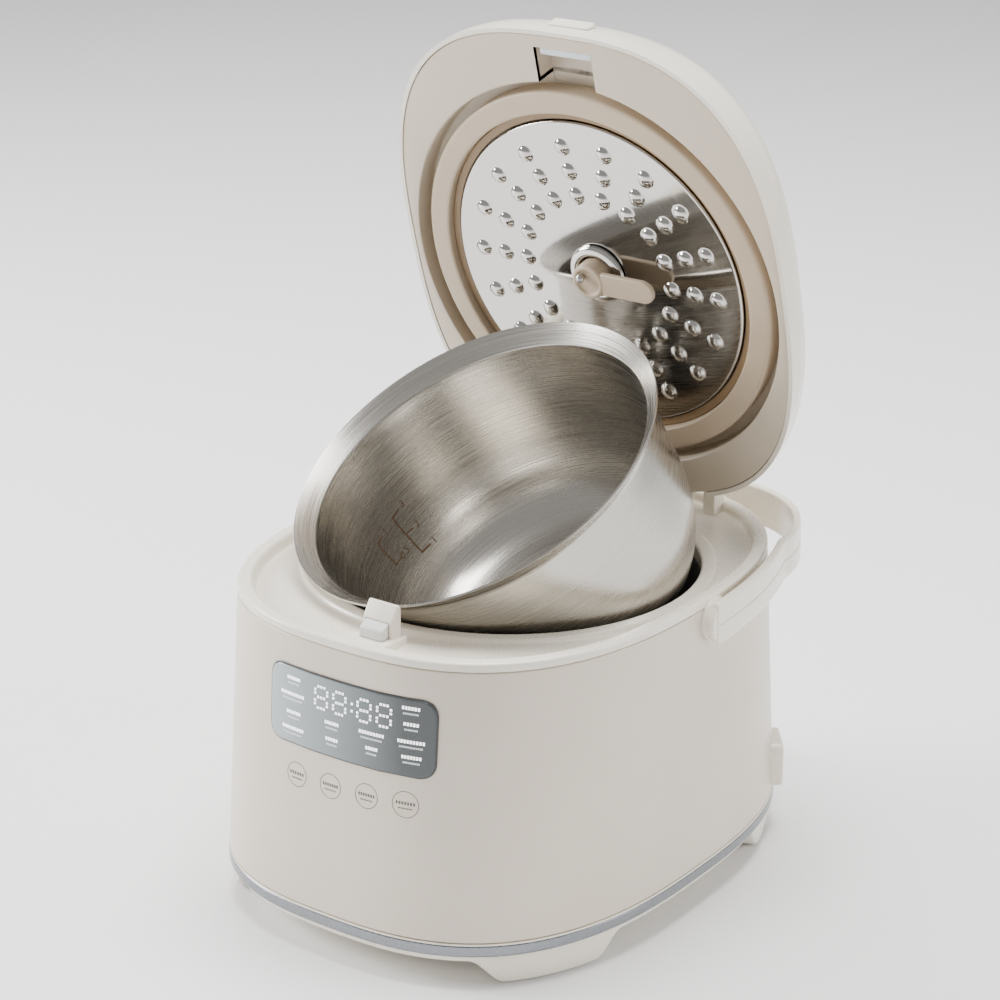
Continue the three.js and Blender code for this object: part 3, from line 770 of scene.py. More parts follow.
@dataclass
class Well:
    """What lies in the well under the pot: liner, heating plate and temperature sensor."""

    y: float = 1.25
    liner_radius: float = 106.6
    heater_radius: float = 96.0
    sensor_radius: float = 12.6

    def build(self) -> None:
        """Builds the liner, the heating plate and the sensor cap."""
        low, top = node_box("well_liner")[:, 2]
        radius, inner = self.liner_radius, self.heater_radius - 6
        liner = soften([(inner, low), (radius + 1, low), (radius + 1, top), (radius, top), (radius, low + 1),
                        (inner, low + 1)], [0.3, 4, 0.3, 0.3, 4, 0.3])
        add_piece("well_liner_cup", [turned(liner, y=self.y)], ALUMINIUM, "cooker",
                  ("well_liner",))
        low, top = node_box("heating_plate")[:, 2]
        radius, hole = self.heater_radius, 14.0
        groove = [(0, 0), (1, 0.5), (2, 0.5), (3, 0)]
        grooves = [(24 + 12 * k + across, top - deep) for k in range(5) for across, deep in groove]
        plate = [(hole, low), (radius, low), (radius, top - 3.4), (radius - 6, top), *grooves[::-1],
                 (hole, top)]
        casting = turned(soften(plate, 0.5, steps=3), y=self.y)
        add_piece("heating_plate_casting", [casting], ALUMINIUM, "cooker", ("heating_plate",))
        low, top = node_box("sensor_cap")[:, 2]
        radius = self.sensor_radius
        wall = 1.2
        cap = soften([(0, top - wall), (radius - wall, top - wall), (radius - wall, low), (radius, low),
                      (radius, top - 1.2), (radius - 2.5, top), (0, top)], [0, 0.4, 0.3, 0.4, 1, 1, 0], False)
        add_piece("sensor_cap_disc", [turned(cap, y=self.y, around=96)], ALUMINIUM, "sensor",
                  ("sensor_cap",))
        log.info("well")


# ---- Front panel ----
@dataclass
class FrontPanel:
    """The display window with its digits and marks, and the touch circles printed under it."""

    body: Body
    corner: float = 9.0
    clear_height: float = 3.0
    pitch_x: float = 2.0
    pitch_z: float = 1.95
    dot: float = 0.62
    digits_x: tuple[float, ...] = (-10.2, 1.9, 17.6, 29.6)
    digits_z: float = 141.6
    colon_x: float = 14.0
    marks: tuple[tuple[float, float, float], ...] = (
        (-25.4, 152.1, 9.6), (-26.2, 143.2, 17.0), (-25.1, 133.2, 10.2), (-25.4, 124.4, 15.6),
        (1.2, 134.5, 9.4), (1.4, 125.6, 8.4), (26.4, 135.3, 15.6), (26.8, 127.1, 7.6),
        (48.4, 153.4, 10.0), (48.8, 144.7, 8.6), (49.0, 135.2, 15.0), (49.5, 126.8, 11.0),
    )
    keys: tuple[tuple[float, float, float], ...] = (
        (-22.8, 99.5, 6.9), (0.4, 99.6, 7.0), (23.7, 100.4, 7.0), (46.4, 100.8, 7.4),
    )

    def build(self) -> None:
        """Builds the window, its dark edge, the digits, the marks and the touch circles."""
        low, high = node_box("display_window")
        centre = np.array([(low[0] + high[0]) / 2, (low[2] + high[2]) / 2])
        width, height = high[0] - low[0], high[2] - low[2] - self.clear_height
        glass = slab(rounded_box(width - 1.6, height - 1.6, self.corner), 0.3, 1.3, 0.35, 14)
        edge = slab(rounded_box(width, height, self.corner + 0.8), 0.25, 0.95, 0.3, 14)
        for points in (glass, edge):
            points[..., :2] += centre
        add_piece("window_glass", [Patch(self.body.front(glass))], SCREEN, "cooker",
                  ("display_window",))
        add_piece("window_surround", [Patch(self.body.front(edge))], SCREEN_EDGE, "cooker")
        log.info("display window")
        self.build_digits()
        self.build_marks()
        self.build_keys()

    def build_digits(self) -> None:
        """Builds the four eights and the colon of small square dots.

        An eight fills places on a grid of five by seven: the middle three of rows 0, 3 and 6, and the two
        ends of the rows between them.
        """
        column, row = np.meshgrid(np.arange(5), np.arange(7))
        bars = (row % 3 == 0) & (column > 0) & (column < 4)
        sides = (row % 3 != 0) & ((column == 0) | (column == 4))
        places = np.argwhere((bars | sides).T) * [self.pitch_x, self.pitch_z] + [0, self.digits_z]
        dots = np.vstack([places + [x, 0] for x in self.digits_x])
        colon = [[self.colon_x, self.digits_z + self.pitch_z * k] for k in (2, 4)]
        self.raise_dots("digit_dots", np.vstack([dots, colon]), self.dot)

    def raise_dots(self, name: str, places: np.ndarray, half: float) -> None:
        """Puts a small square tablet at each place.

        Args:
            name: The piece's name.
            places: Where the tablets are, as x and z.
            half: Half of a tablet's side.
        """
        square = slab(SQUARE * half, 1.2, 1.42, 0.05)
        patches = []
        for place in places:
            points = square.copy()
            points[..., :2] += place
            patches.append(Patch(self.body.front(points)))
        add_piece(name, patches, LIT, "cooker")

    def word(self, x: float, z: float, width: float, height: float, out: float) -> list[Patch]:
        """Shapes a plain stand-in for a printed word: a row of blank blocks, as wide as its letters.

        Args:
            x: The row's middle.
            z: The row's height on the front.
            width: The row's length.
            height: A block's height.
            out: How far the blocks stand out of the shell.

        Returns:
            The blocks.
        """
        count = max(2, round(width / (height * 0.95)))
        pitch = width / count
        blocks = []
        for place in x + (np.arange(count) - (count - 1) / 2) * pitch:
            outline = SQUARE * [pitch * 0.33, height / 2]
            block = slab(outline, out - 0.15, out + 0.06, 0.03)
            block[..., :2] += [place, z]
            blocks.append(Patch(self.body.front(block)))
        return blocks

    def build_marks(self) -> None:
        """Builds the blank words where the menu stands: a bold row, and a fainter, smaller one beneath."""
        for name, drop, scale, height, finish in (("menu_words", 0.8, 1.0, 1.75, LIT),
                                                  ("menu_underwords", -2.2, 0.85, 0.95, FAINT_PRINT)):
            patches = [patch for x, z, width in self.marks
                       for patch in self.word(x, z + drop, width * scale, height, 1.35)]
            add_piece(name, patches, finish, "cooker")

    def build_keys(self) -> None:
        """Builds the printed touch circles, each with two blank words inside.

        A circle is a flat ring between radius r and r - 0.4, 0.05 proud of the shell.
        """
        patches = []
        for x, z, radius in self.keys:
            ring = [disc(radius - step, 96) for step in (0, 0, 0.4, 0.4)]
            out = np.array([-0.15, 0.05, 0.05, -0.15])[:, None, None]
            flat = np.concatenate([np.stack(ring) + [x, z], np.broadcast_to(out, (4, 96, 1))], -1)
            patches.append(Patch(self.body.front(flat), True))
            patches += self.word(x, z + 0.7, radius * 1.5, 1.7, 0.02)
            patches += self.word(x, z - 2.2, radius * 1.1, 0.8, 0.02)
        add_piece("touch_circles", patches, GREY_PRINT, "cooker")
        log.info("digits, marks and touch circles")


# ---- Handle ----
@dataclass
class Handle:
    """The carrying handle: a flat strap bent into a U, its end stubs and pins."""

    pivot_y: float = 14.1
    pivot_z: float = 167.2
    tilt: float = 2.7
    outer: float = 133.1
    corner: float = 119.1
    bend: float = 62.9
    reach: float = 148.2
    end: float = 7.0
    thick: float = 4.6
    width: float = 24.0
    toe: float = 2.2
    stub: float = 12.0

    def path(self) -> tuple[np.ndarray, np.ndarray]:
        """Follows the strap's outer face from one end to the other.

        The arms draw in as outer - (outer - corner) share^toe, the corners are quarter circles and the
        grip is straight.

        Returns:
            Points on the outer face and unit normals that look outwards, in x and y.
        """
        straight = self.reach - self.bend
        tail = np.linspace(-self.end, 0, 10, endpoint=False)
        y = np.concatenate([tail, np.linspace(0, straight, 40, endpoint=False)])
        share = np.clip(y / straight, 0, 1)
        arm = np.stack([self.outer - (self.outer - self.corner) * share**self.toe, y], -1)
        turn = np.linspace(0, np.pi / 2, 30)
        middle = [self.corner - self.bend, straight]
        curve = np.stack([np.cos(turn), np.sin(turn)], -1) * self.bend + middle
        half = np.vstack([arm, curve])
        other = half[::-1] * [-1, 1]
        points = np.vstack([half, other])
        ahead = np.gradient(points, axis=0)
        normal = np.stack([ahead[:, 1], -ahead[:, 0]], -1)
        return points, normal / np.linalg.norm(normal, axis=1, keepdims=True)

    def place(self, points: np.ndarray) -> np.ndarray:
        """Returns strap points, laid flat about the pivot, tilted and put on the body."""
        tilted = turn_about(points, np.array([1.0, 0, 0]), np.zeros(3), np.radians(self.tilt))
        return tilted + [0, self.pivot_y, self.pivot_z]

    def build(self) -> None:
        """Builds the strap, the stubs and the stub caps."""
        points, normal = self.path()
        half = self.width / 2
        section = soften([(0, -half), (0, -1.0), (-0.45, -0.55), (-0.45, 0.55), (0, 1.0), (0, half),
                          (-self.thick, half), (-self.thick, -half)],
                         [1.8, 0.3, 0.3, 0.3, 0.3, 1.8, 1.8, 1.8])
        from_end = np.minimum(points[:, 1].clip(-self.end), 0) + self.end
        reach = np.clip(from_end / 3.0, 0, 1)
        shrink = 1 - 0.22 * (1 - np.sqrt(1 - (1 - reach) ** 2))
        out = section[:, 0][None, :, None]
        flat = points[:, None] + normal[:, None] * out
        z = section[:, 1][None, :, None] * shrink[:, None, None]
        strap = np.concatenate([flat, z], -1)
        caps = [strap[k].mean(0)[None, None].repeat(strap.shape[1], 1) for k in (0, -1)]
        strap = np.concatenate([caps[0], strap, caps[1]])
        add_piece("handle_strap", [Patch(self.place(strap))], CREAM, "handle",
                  ("carry_handle",))
        for side, name in ((-1, "left"), (1, "right")):
            knuckle = slab(disc(self.stub - 0.2, 96), 126.8, self.outer - 0.4, 1.6) * [1, 1, side]
            knuckle = np.stack([knuckle[..., 2], knuckle[..., 0], knuckle[..., 1]], -1)
            add_piece(f"handle_knuckle_{name}", [Patch(self.place(knuckle))], CREAM, "handle")
            low, high = node_box(f"handle_boss_{name}")
            shell, face = sorted((abs(low[0]), abs(high[0])))
            stub = slab(disc(self.stub, 96), shell - 3, face, 0.6) * [1, 1, side]
            stub[..., :2] += [self.pivot_y, self.pivot_z]
            add_piece(f"handle_stub_{name}", [Patch(along_x(stub))], CREAM, "cooker",
                      (f"handle_boss_{name}",))
            dress_node(f"handle_pin_{name}", HARDWARE)
        log.info("handle")


# ---- Lid ----
@dataclass
class Lid:
    """The lid: cover, frame with its slot, seals, inner plate, valve, steam cap and button."""

    half_x: float = 126.2
    half_y: float = 144.5
    power: float = 2.72
    face: float = 182.0
    ring_y: float = 5.3
    open_angle: float = 74.3
    recess: float = 119.4
    recess_top: float = 196.0
    frame_inset: float = 2.7
    crown: float = 222.4
    vent_y: float = 62.0
    slot_x: float = 3.8
    slot_front: float = -134.5
    slot_width: float = 37.0
    slot_depth: float = 26.5
    button_low: float = 190.5
    button_top: float = 198.5
    plate_radius: float = 94.0
    plate_low: float = 187.2
    dimple_rows: int = 18
    dimple_radii: tuple[float, ...] = (48.5, 63.5, 78.5)
    dimple_size: float = 5.0
    dimple_height: float = 2.2
    first_dimple: float = 2.0

    def swing(self, points: np.ndarray) -> np.ndarray:
        """Returns points of the shut lid swung open about the hinge."""
        return turn_about(points, np.array([1.0, 0, 0]), HINGE, -np.radians(self.open_angle))

    def rows(self, inset: np.ndarray | float, z: np.ndarray | float) -> np.ndarray:
        """Returns rows for rings() of the lid's outline, drawn in by insets at some heights."""
        inset, z = np.broadcast_arrays(np.asarray(inset, float), np.asarray(z, float))
        flat = np.ones_like(z)
        return np.stack([self.half_x - inset, self.half_y - inset, self.power * flat, 0 * flat, z], -1)

    def circle_row(self, radius: float, z: float) -> list[float]:
        """Returns one round row about the plate's middle for rings()."""
        return [radius, radius, 2.0, self.ring_y, z]

    def outline_row(self, inset: float, z: float) -> list[float]:
        """Returns one row that follows the lid's outline for rings()."""
        return self.rows(inset, z).tolist()

    def add(
        self, name: str, patches: list[Patch], finish: Finish, body: str, slot: str, *stands_for: str
    ) -> bpy.types.Object:
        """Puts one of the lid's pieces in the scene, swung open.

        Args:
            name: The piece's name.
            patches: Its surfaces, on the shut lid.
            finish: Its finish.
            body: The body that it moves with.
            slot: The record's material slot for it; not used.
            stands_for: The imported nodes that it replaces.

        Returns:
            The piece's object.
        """
        return add_piece(name, [patch.moved(self.swing) for patch in patches], finish, body, stands_for)

    def build(self) -> None:
        """Builds the whole lid."""
        self.build_cover()
        self.build_frame()
        self.build_seals()
        self.build_plate()
        self.build_valve()
        self.build_outside()

    def notches(self) -> list[Patch]:
        """Returns the clearances for the deck's ears."""
        ears = []
        for side in (-1, 1):
            box = slab(rounded_box(9.6, 36, 1.0, 3), 170, 208, 0.4)
            box[..., :2] += [side * EAR_X, HINGE[1] - 6.6 + 18]
            ears.append(Patch(self.swing(box)))
        return ears

    def build_cover(self) -> None:
        """Builds the domed cover, an open bowl with a wall of even thickness."""
        face = self.face
        outside = soften(self.rows([0, 0.6, 4.2, 11.5, 25, 50], [face - 0.4, 192, 204, 213.5, 219.4, 221.8]),
                         [0, 8, 8, 8, 10, 10], False)
        inside = soften(self.rows([51, 27, 14, 7, 3, 2.4], [219.4, 217.0, 211.4, 203.2, 192.4, face - 0.4]),
                        [0, 8, 8, 8, 8, 0], False)
        middle = np.zeros((1, AROUND, 3))
        dome = np.concatenate([rings(outside), middle + [0, 0, self.crown], middle + [0, 0, self.crown - 2.4],
                               rings(inside)])
        piece = self.add("lid_cover_dome", [Patch(dome, True)], LID_COVER, "lid", "lid_plastic", "lid_cover")
        vent = slab(disc(21.1, 96), 205, 230, 0.2)
        vent[..., 1] += self.vent_y
        cut_away(piece, [*self.notches(), Patch(self.swing(vent)), self.button_gap()])
        log.info("lid cover")

    def button_gap(self) -> Patch:
        """Returns the clearance round the release button."""
        box = slab(rounded_box(26.8, 8.8, 2.0, 4), 0, 30, 0.2)
        height = (self.button_low + self.button_top) / 2
        across, deep, up = box[..., 0] + self.slot_x, 7 - self.half_y - box[..., 2], box[..., 1] + height
        points = np.stack([across, deep, up], -1)
        return Patch(self.swing(points))

    def build_frame(self) -> None:
        """Builds the frame: a flat ledge, a round recess and a slot that opens into it."""
        wall, low, top, recess = self.frame_inset, self.face, self.recess_top, self.recess
        corners = [
            self.outline_row(wall, low), self.outline_row(wall, low + 8),
            self.outline_row(wall + 2.4, low + 8), self.outline_row(wall + 2.4, low + 2.5),
            self.circle_row(recess + 2.4, low + 2.5), self.circle_row(recess + 2.4, top + 2.4),
            self.circle_row(14, top + 2.4), self.circle_row(14, top),
            self.circle_row(recess, top), self.circle_row(recess, low),
        ]
        radius = [1.0, 0.5, 0.5, 0.5, 0.5, 0.5, 0.5, 0.5, 2.0, 1.2]
        ledge = Patch(rings(soften(corners, radius)), True)
        piece = self.add("lid_frame_ledge", [ledge], LID_CREAM, "lid", "lid_plastic", "lid_frame")
        bosses = [hinge_plate(side * BOSS_X, low + 0.8, 0.9, 0.5) for side in (-1, 1)]
        self.add("lid_hinge_bosses", bosses, LID_CREAM, "lid", "lid_plastic")
        slot = slab(rounded_box(self.slot_width, self.slot_depth, 0.8, 3), low - 4, top + 0.6, 0.3)
        slot[..., :2] += [self.slot_x, self.slot_front + self.slot_depth / 2]
        cut_away(piece, [Patch(self.swing(slot))])
        pocket = slab(rounded_box(self.slot_width + 6, 23.6, 2.0, 4), low + 0.3, top + 2.6, 0.2)
        pocket[..., :2] += [self.slot_x, self.slot_front + 9.3]
        pocket_piece = self.add("slot_pocket", [Patch(pocket)], LID_CREAM, "lid", "lid_plastic")
        cut_away(pocket_piece, [Patch(self.swing(slot))])
        lip = slab(rounded_box(self.slot_width - 4, 4.2, 0.8, 4), low + 1.0, low + 9.0, 0.5)
        lip[..., :2] += [self.slot_x + 1.5, self.slot_front + 2.4]
        self.add("latch_striker_bar", [Patch(lip)], STRIKER, "lid", "cream_plastic", "latch_striker")
        log.info("lid frame")

    def build_seals(self) -> None:
        """Builds the flat seal ring in the recess and the gasket inside it, coloured dark brown as painted
        shade of the gap between seal and plate.
        """
        low, top = 184.0, self.recess_top - 0.3
        ring = soften([(99.6, low + 0.6), (101, low), (111.8, low), (113, low + 1.6), (113, top),
                       (99.6, top)],
                      [1.2, 1.6, 2.2, 1.6, 0.4, 0.4])
        self.add("seal_ring", [turned(ring, y=self.ring_y)], PALE_SILICONE, "lid", "silicone", "seal_holder")
        gasket = soften([(94.6, 188.8), (99.4, 188.4), (99.4, 194), (97, 194), (95.8, 190.6)], 0.7)
        # The gasket's dark brown is painted shade of the gap between the seal ring and the plate.
        self.add("gasket_lip", [turned(gasket, y=self.ring_y)], GAP_SHADE_SILICONE, "lid", "silicone", "lid_gasket")
        log.info("seals")

    def build_plate(self) -> None:
        """Builds the polished inner plate with rows of domed dimples.

        The face sinks by 1.4 (1 - (r/radius)^2) towards the middle. Each dimple adds a dome of height
        h (1 - d^2/size^2)^0.9, with d the distance to the nearest dimple's middle, and all of them
        repeat at an even step round the plate.
        """
        count, around = 118, 720
        hole = 13.0
        radius = np.concatenate([np.linspace(hole, self.plate_radius - 1.2, count),
                                 self.plate_radius - 1.2 + 1.2 * np.sin(np.linspace(0.3, np.pi / 2, 5))])
        turn = np.linspace(0, 2 * np.pi, around, endpoint=False)
        step = 2 * np.pi / self.dimple_rows
        near = (turn - np.radians(self.first_dimple) + step / 2) % step - step / 2
        dome = np.zeros((len(radius), around))
        for middle in self.dimple_radii:
            gap = radius[:, None] ** 2 + middle**2 - 2 * radius[:, None] * middle * np.cos(near[None])
            dome += self.dimple_height * np.clip(1 - gap / self.dimple_size**2, 0, None) ** 0.9
        sink = 1.4 * (1 - (radius / self.plate_radius) ** 2)
        edge = np.clip(radius - (self.plate_radius - 1.2), 0, None)
        low = self.plate_low + sink + 1.2 - np.sqrt(1.44 - np.minimum(edge, 1.2) ** 2)
        z = low[:, None] - dome
        x = radius[:, None] * np.cos(turn)
        y = self.ring_y + radius[:, None] * np.sin(turn)
        under = np.stack(np.broadcast_arrays(x, y, z), -1)
        back_profile = np.array([(self.plate_radius, 191.2), (self.plate_radius - 1, 191.2),
                                 (self.plate_radius - 1, 189.2), (60, 189.6), (hole, 190.2)])
        back = turned(back_profile, y=self.ring_y, around=around).points
        points = np.concatenate([under, back])
        spun = np.stack([points[..., 0] * 0.01, (points[..., 1] - self.ring_y) * 0.01,
                         np.hypot(points[..., 0], points[..., 1] - self.ring_y) * 2.2], -1)
        plate = Patch(points, True, spun)
        self.add("steam_plate", [plate], PLATE_STEEL, "plate", "plate_steel", "inner_plate")
        log.info("inner plate")

    def build_valve(self) -> None:
        """Builds the valve's polished cup, its cap with a pull tongue, and the float pin."""
        y = self.ring_y
        cup = soften([(12.4, 184.8), (13.6, 184.4), (17.2, 185.4), (17.9, 187.8), (12.4, 188.1),
                      (11.3, 187.0)], [0.4, 0.8, 1.6, 0.3, 0.3, 0.5])
        ring = turned(cup, y=y, around=160)
        self.add("valve_cup", [ring], PLATE_STEEL, "plate", "plate_steel", "valve_ring")
        cap = soften([(0, 178.0), (7.2, 178.0), (7.9, 176.6), (9.6, 176.6), (10.5, 178.2), (10.5, 189.5),
                      (0, 189.5)], [0, 0.5, 0.6, 0.8, 1.2, 0.3, 0], False)
        plug = turned(cap, y=y, around=128)
        self.add("valve_plug", [plug], PALE_SILICONE, "plate", "silicone", "valve_cap")
        far, half = 43.0, 6.9
        turn = np.linspace(-np.pi / 2, np.pi / 2, 33)
        head = np.stack([np.cos(turn), np.sin(turn)], -1) * half + [far - half, 0]
        tongue = slab(np.vstack([head, [[9.0, half], [9.0, -half]]]), 177.0, 180.2, 0.9)
        tongue[..., 1] += y
        self.add("valve_tongue", [Patch(tongue)], PALE_SILICONE, "plate", "silicone", "valve_tab")
        turn = np.linspace(-np.pi / 2, np.pi / 2, 19)
        bead = np.stack([2.5 * np.cos(turn), 174.9 + 2.5 * np.sin(turn)], -1)[:-5]
        stem = [(1.5, bead[-1, 1] + 0.8), (1.5, 190.8), (0, 190.8)]
        self.add("float_bead", [turned(np.vstack([bead, stem]), -3.2, y - 3.2, 64)], HARDWARE, "float",
                 "hardware_steel", "float_pin")
        log.info("valve")

    def build_outside(self) -> None:
        """Builds the steam cap on top of the lid and the release button at its front."""
        cap = soften([(0, 212), (18, 212), (20.6, 214), (20.6, 222.2), (17, 223.4), (15.6, 222.2),
                      (13.6, 222.2), (12.4, 223.5), (0, 223.6)],
                     [0, 0.5, 1, 1.6, 0.6, 0.5, 0.5, 0.8, 0], False)
        vent = turned(cap, y=self.vent_y, around=128)
        piece = self.add("steam_vent_cap", [vent], LID_CREAM, "vent", "lid_plastic", "steam_cap")
        slots = []
        for angle in np.linspace(0, 2 * np.pi, 6, endpoint=False):
            slot = slab(rounded_box(2.0, 7.0, 0.9, 4), 220.5, 226, 0.1)
            slot = turn_about(slot + [0, 6.5, 0], np.array([0, 0, 1.0]), np.zeros(3), angle)
            slots.append(Patch(self.swing(slot + [0, self.vent_y, 0])))
        cut_away(piece, slots)
        low, high = self.button_low, self.button_top
        box = slab(rounded_box(26.0, high - low, 1.8, 5), 0, 4.4, 0.7)
        height = (low + high) / 2
        across, deep, up = box[..., 0] + self.slot_x, box[..., 2] - self.half_y - 0.2, box[..., 1] + height
        points = np.stack([across, deep, up], -1)
        self.add("release_key", [Patch(points)], CREAM, "release", "cream_plastic", "release_button")
        log.info("steam cap and release button")




# ---- Inner pot ----
@dataclass
class InnerPot:
    """The loose steel pot, shaped in its seat and tipped out to where it is propped."""

    y: float = 1.25
    top: float = 181.3
    flange: float = 108.7
    depth: float = 124.0
    text_size: float = 6.6
    line: float = 1.15

    def tip(self, points: np.ndarray) -> np.ndarray:
        """Returns points of the seated pot turned back by the whole travel of the tipping joint."""
        joint = next(joint for joint in frame["record"]["behaviour"]["joints"] if joint["name"] == "pot_tip")
        at = np.array(joint["pos_m"]) / MM
        return turn_about(points, np.array(joint["axis"]), at, -np.radians(joint["range_deg"][1]))

    def inner_wall(self) -> np.ndarray:
        """Returns the inner face's radius and depth, from the mouth to the bottom's middle."""
        return soften([(108.1, 0.2), (98.7, 9.0), (98.4, 16), (98.3, 30), (97.2, 59),
                       (96.0, 73), (92.2, 89.5), (85.6, 102.2), (74.6, 113.6), (57, 119.4), (37.6, 122.8),
                       (0, 122.8)], [0, 1.0, 3, 10, 12, 12, 12, 12, 12, 14, 14, 0], False)

    def build(self) -> None:
        """Builds the pot: bell mouth, flat rolled flange, neck, belly and raised bottom."""
        outside = soften([(0, self.depth), (38, self.depth), (58, 120.6), (76, 114.4), (87, 103),
                          (93.4, 90.2), (97.2, 74), (98.4, 60), (99.6, 30), (99.7, 11.2), (105.6, 3.6),
                          (108.4, 1.7), (self.flange, 0.9)],
                         [0, 14, 14, 12, 12, 12, 12, 12, 10, 2.5, 1.5, 0.6, 0], False)
        section = np.vstack([outside, self.inner_wall()])
        section[:, 1] = self.top - section[:, 1]
        shell = turned(section, y=self.y, around=320)
        add_piece("pot_shell", [shell.moved(self.tip)], POT_STEEL, "pot", ("inner_pot",))
        log.info("inner pot")
        self.build_scale()

    def on_wall(self, flat: np.ndarray) -> np.ndarray:
        """Lays degrees round the pot, depth and thickness on the inner wall.

        The radius at a depth comes from the inner wall's profile, less the thickness.

        Args:
            flat: Points as degrees, depth and thickness.

        Returns:
            The points on the propped pot.
        """
        profile = self.inner_wall()
        degrees, depth, thick = np.moveaxis(flat, -1, 0)
        radius = np.interp(depth, profile[:, 1], profile[:, 0]) - thick
        turn = np.radians(degrees)
        points = np.stack([radius * np.cos(turn), self.y + radius * np.sin(turn), self.top - depth], -1)
        return self.tip(points)

    def stroke(self, start: tuple[float, float], end: tuple[float, float]) -> Patch:
        """Shapes one straight line of the level scale, from one place to another on the wall.

        Args:
            start: Degrees and depth.
            end: Degrees and depth.

        Returns:
            The line as a thin closed strip.
        """
        per_degree = 1.69
        start_mm, end_mm = (np.array([p[0] * per_degree, p[1]]) for p in (start, end))
        length = np.linalg.norm(end_mm - start_mm)
        along = (end_mm - start_mm) / length
        bar = slab(rounded_box(length + self.line, self.line, 0.3, 3), -0.1, 0.06, 0.03, 8)
        across = np.array([-along[1], along[0]])
        place = (start_mm + end_mm) / 2 + bar[..., :1] * along + bar[..., 1:2] * across
        flat = np.concatenate([place / [per_degree, 1], bar[..., 2:]], -1)
        return Patch(self.on_wall(flat))

    def build_scale(self) -> None:
        """Builds the two level brackets and their numbers."""
        strokes = [
            ((175.6, 59.6), (179.4, 60.2)), ((179.4, 60.2), (178.6, 88.9)), ((178.6, 88.9), (174.2, 89.6)),
            ((179.0, 74.2), (175.6, 75.0)), ((187.2, 61.0), (190.7, 61.7)), ((190.7, 61.7), (190.3, 79.6)),
            ((190.3, 79.6), (186.6, 80.2)),
        ]
        add_piece("level_lines", [self.stroke(*ends) for ends in strokes], ETCHED, "pot")
        numbers = (("3", 173.3, 59.0), ("2", 173.0, 75.6), ("1", 171.8, 89.6), ("1", 185.2, 61.0),
                   ("0.5", 184.0, 80.4))
        for count, (text, degrees, depth) in enumerate(numbers, 1):
            self.build_number(f"level_number_{count}", text, degrees, depth)
        log.info("level scale")

    def build_number(self, name: str, text: str, degrees: float, depth: float) -> None:
        """Builds one number of the level scale, bent to the wall.

        Args:
            name: The piece's name.
            text: The number.
            degrees: Where its middle is round the pot.
            depth: Where its middle is below the mouth.
        """
        curve = bpy.data.curves.new(name, "FONT")
        curve.body, curve.size, curve.extrude = text, self.text_size, 0.08
        curve.align_x, curve.align_y = "CENTER", "CENTER"
        holder = bpy.data.objects.new(name, curve)
        bpy.context.scene.collection.objects.link(holder)
        bpy.context.view_layer.update()
        mesh = bpy.data.meshes.new_from_object(holder.evaluated_get(bpy.context.evaluated_depsgraph_get()))
        bpy.data.objects.remove(holder)
        flat = np.empty(len(mesh.vertices) * 3)
        mesh.vertices.foreach_get("co", flat)
        x, y, z = flat.reshape(-1, 3).T
        place = self.on_wall(np.stack([degrees - x / 1.69, depth - y, z], -1))
        mesh.vertices.foreach_set("co", (place * MM).ravel())
        piece = tie(bpy.data.objects.new(name, mesh), ETCHED, "pot")
        recalculate(piece.data)


def recalculate(mesh: bpy.types.Mesh) -> None:
    """Merges a mesh's doubles and turns its faces outwards."""
    work = bmesh.new()
    work.from_mesh(mesh)
    bmesh.ops.remove_doubles(work, verts=work.verts, dist=1e-6)
    bmesh.ops.recalc_face_normals(work, faces=work.faces)
    work.to_mesh(mesh)
    work.free()


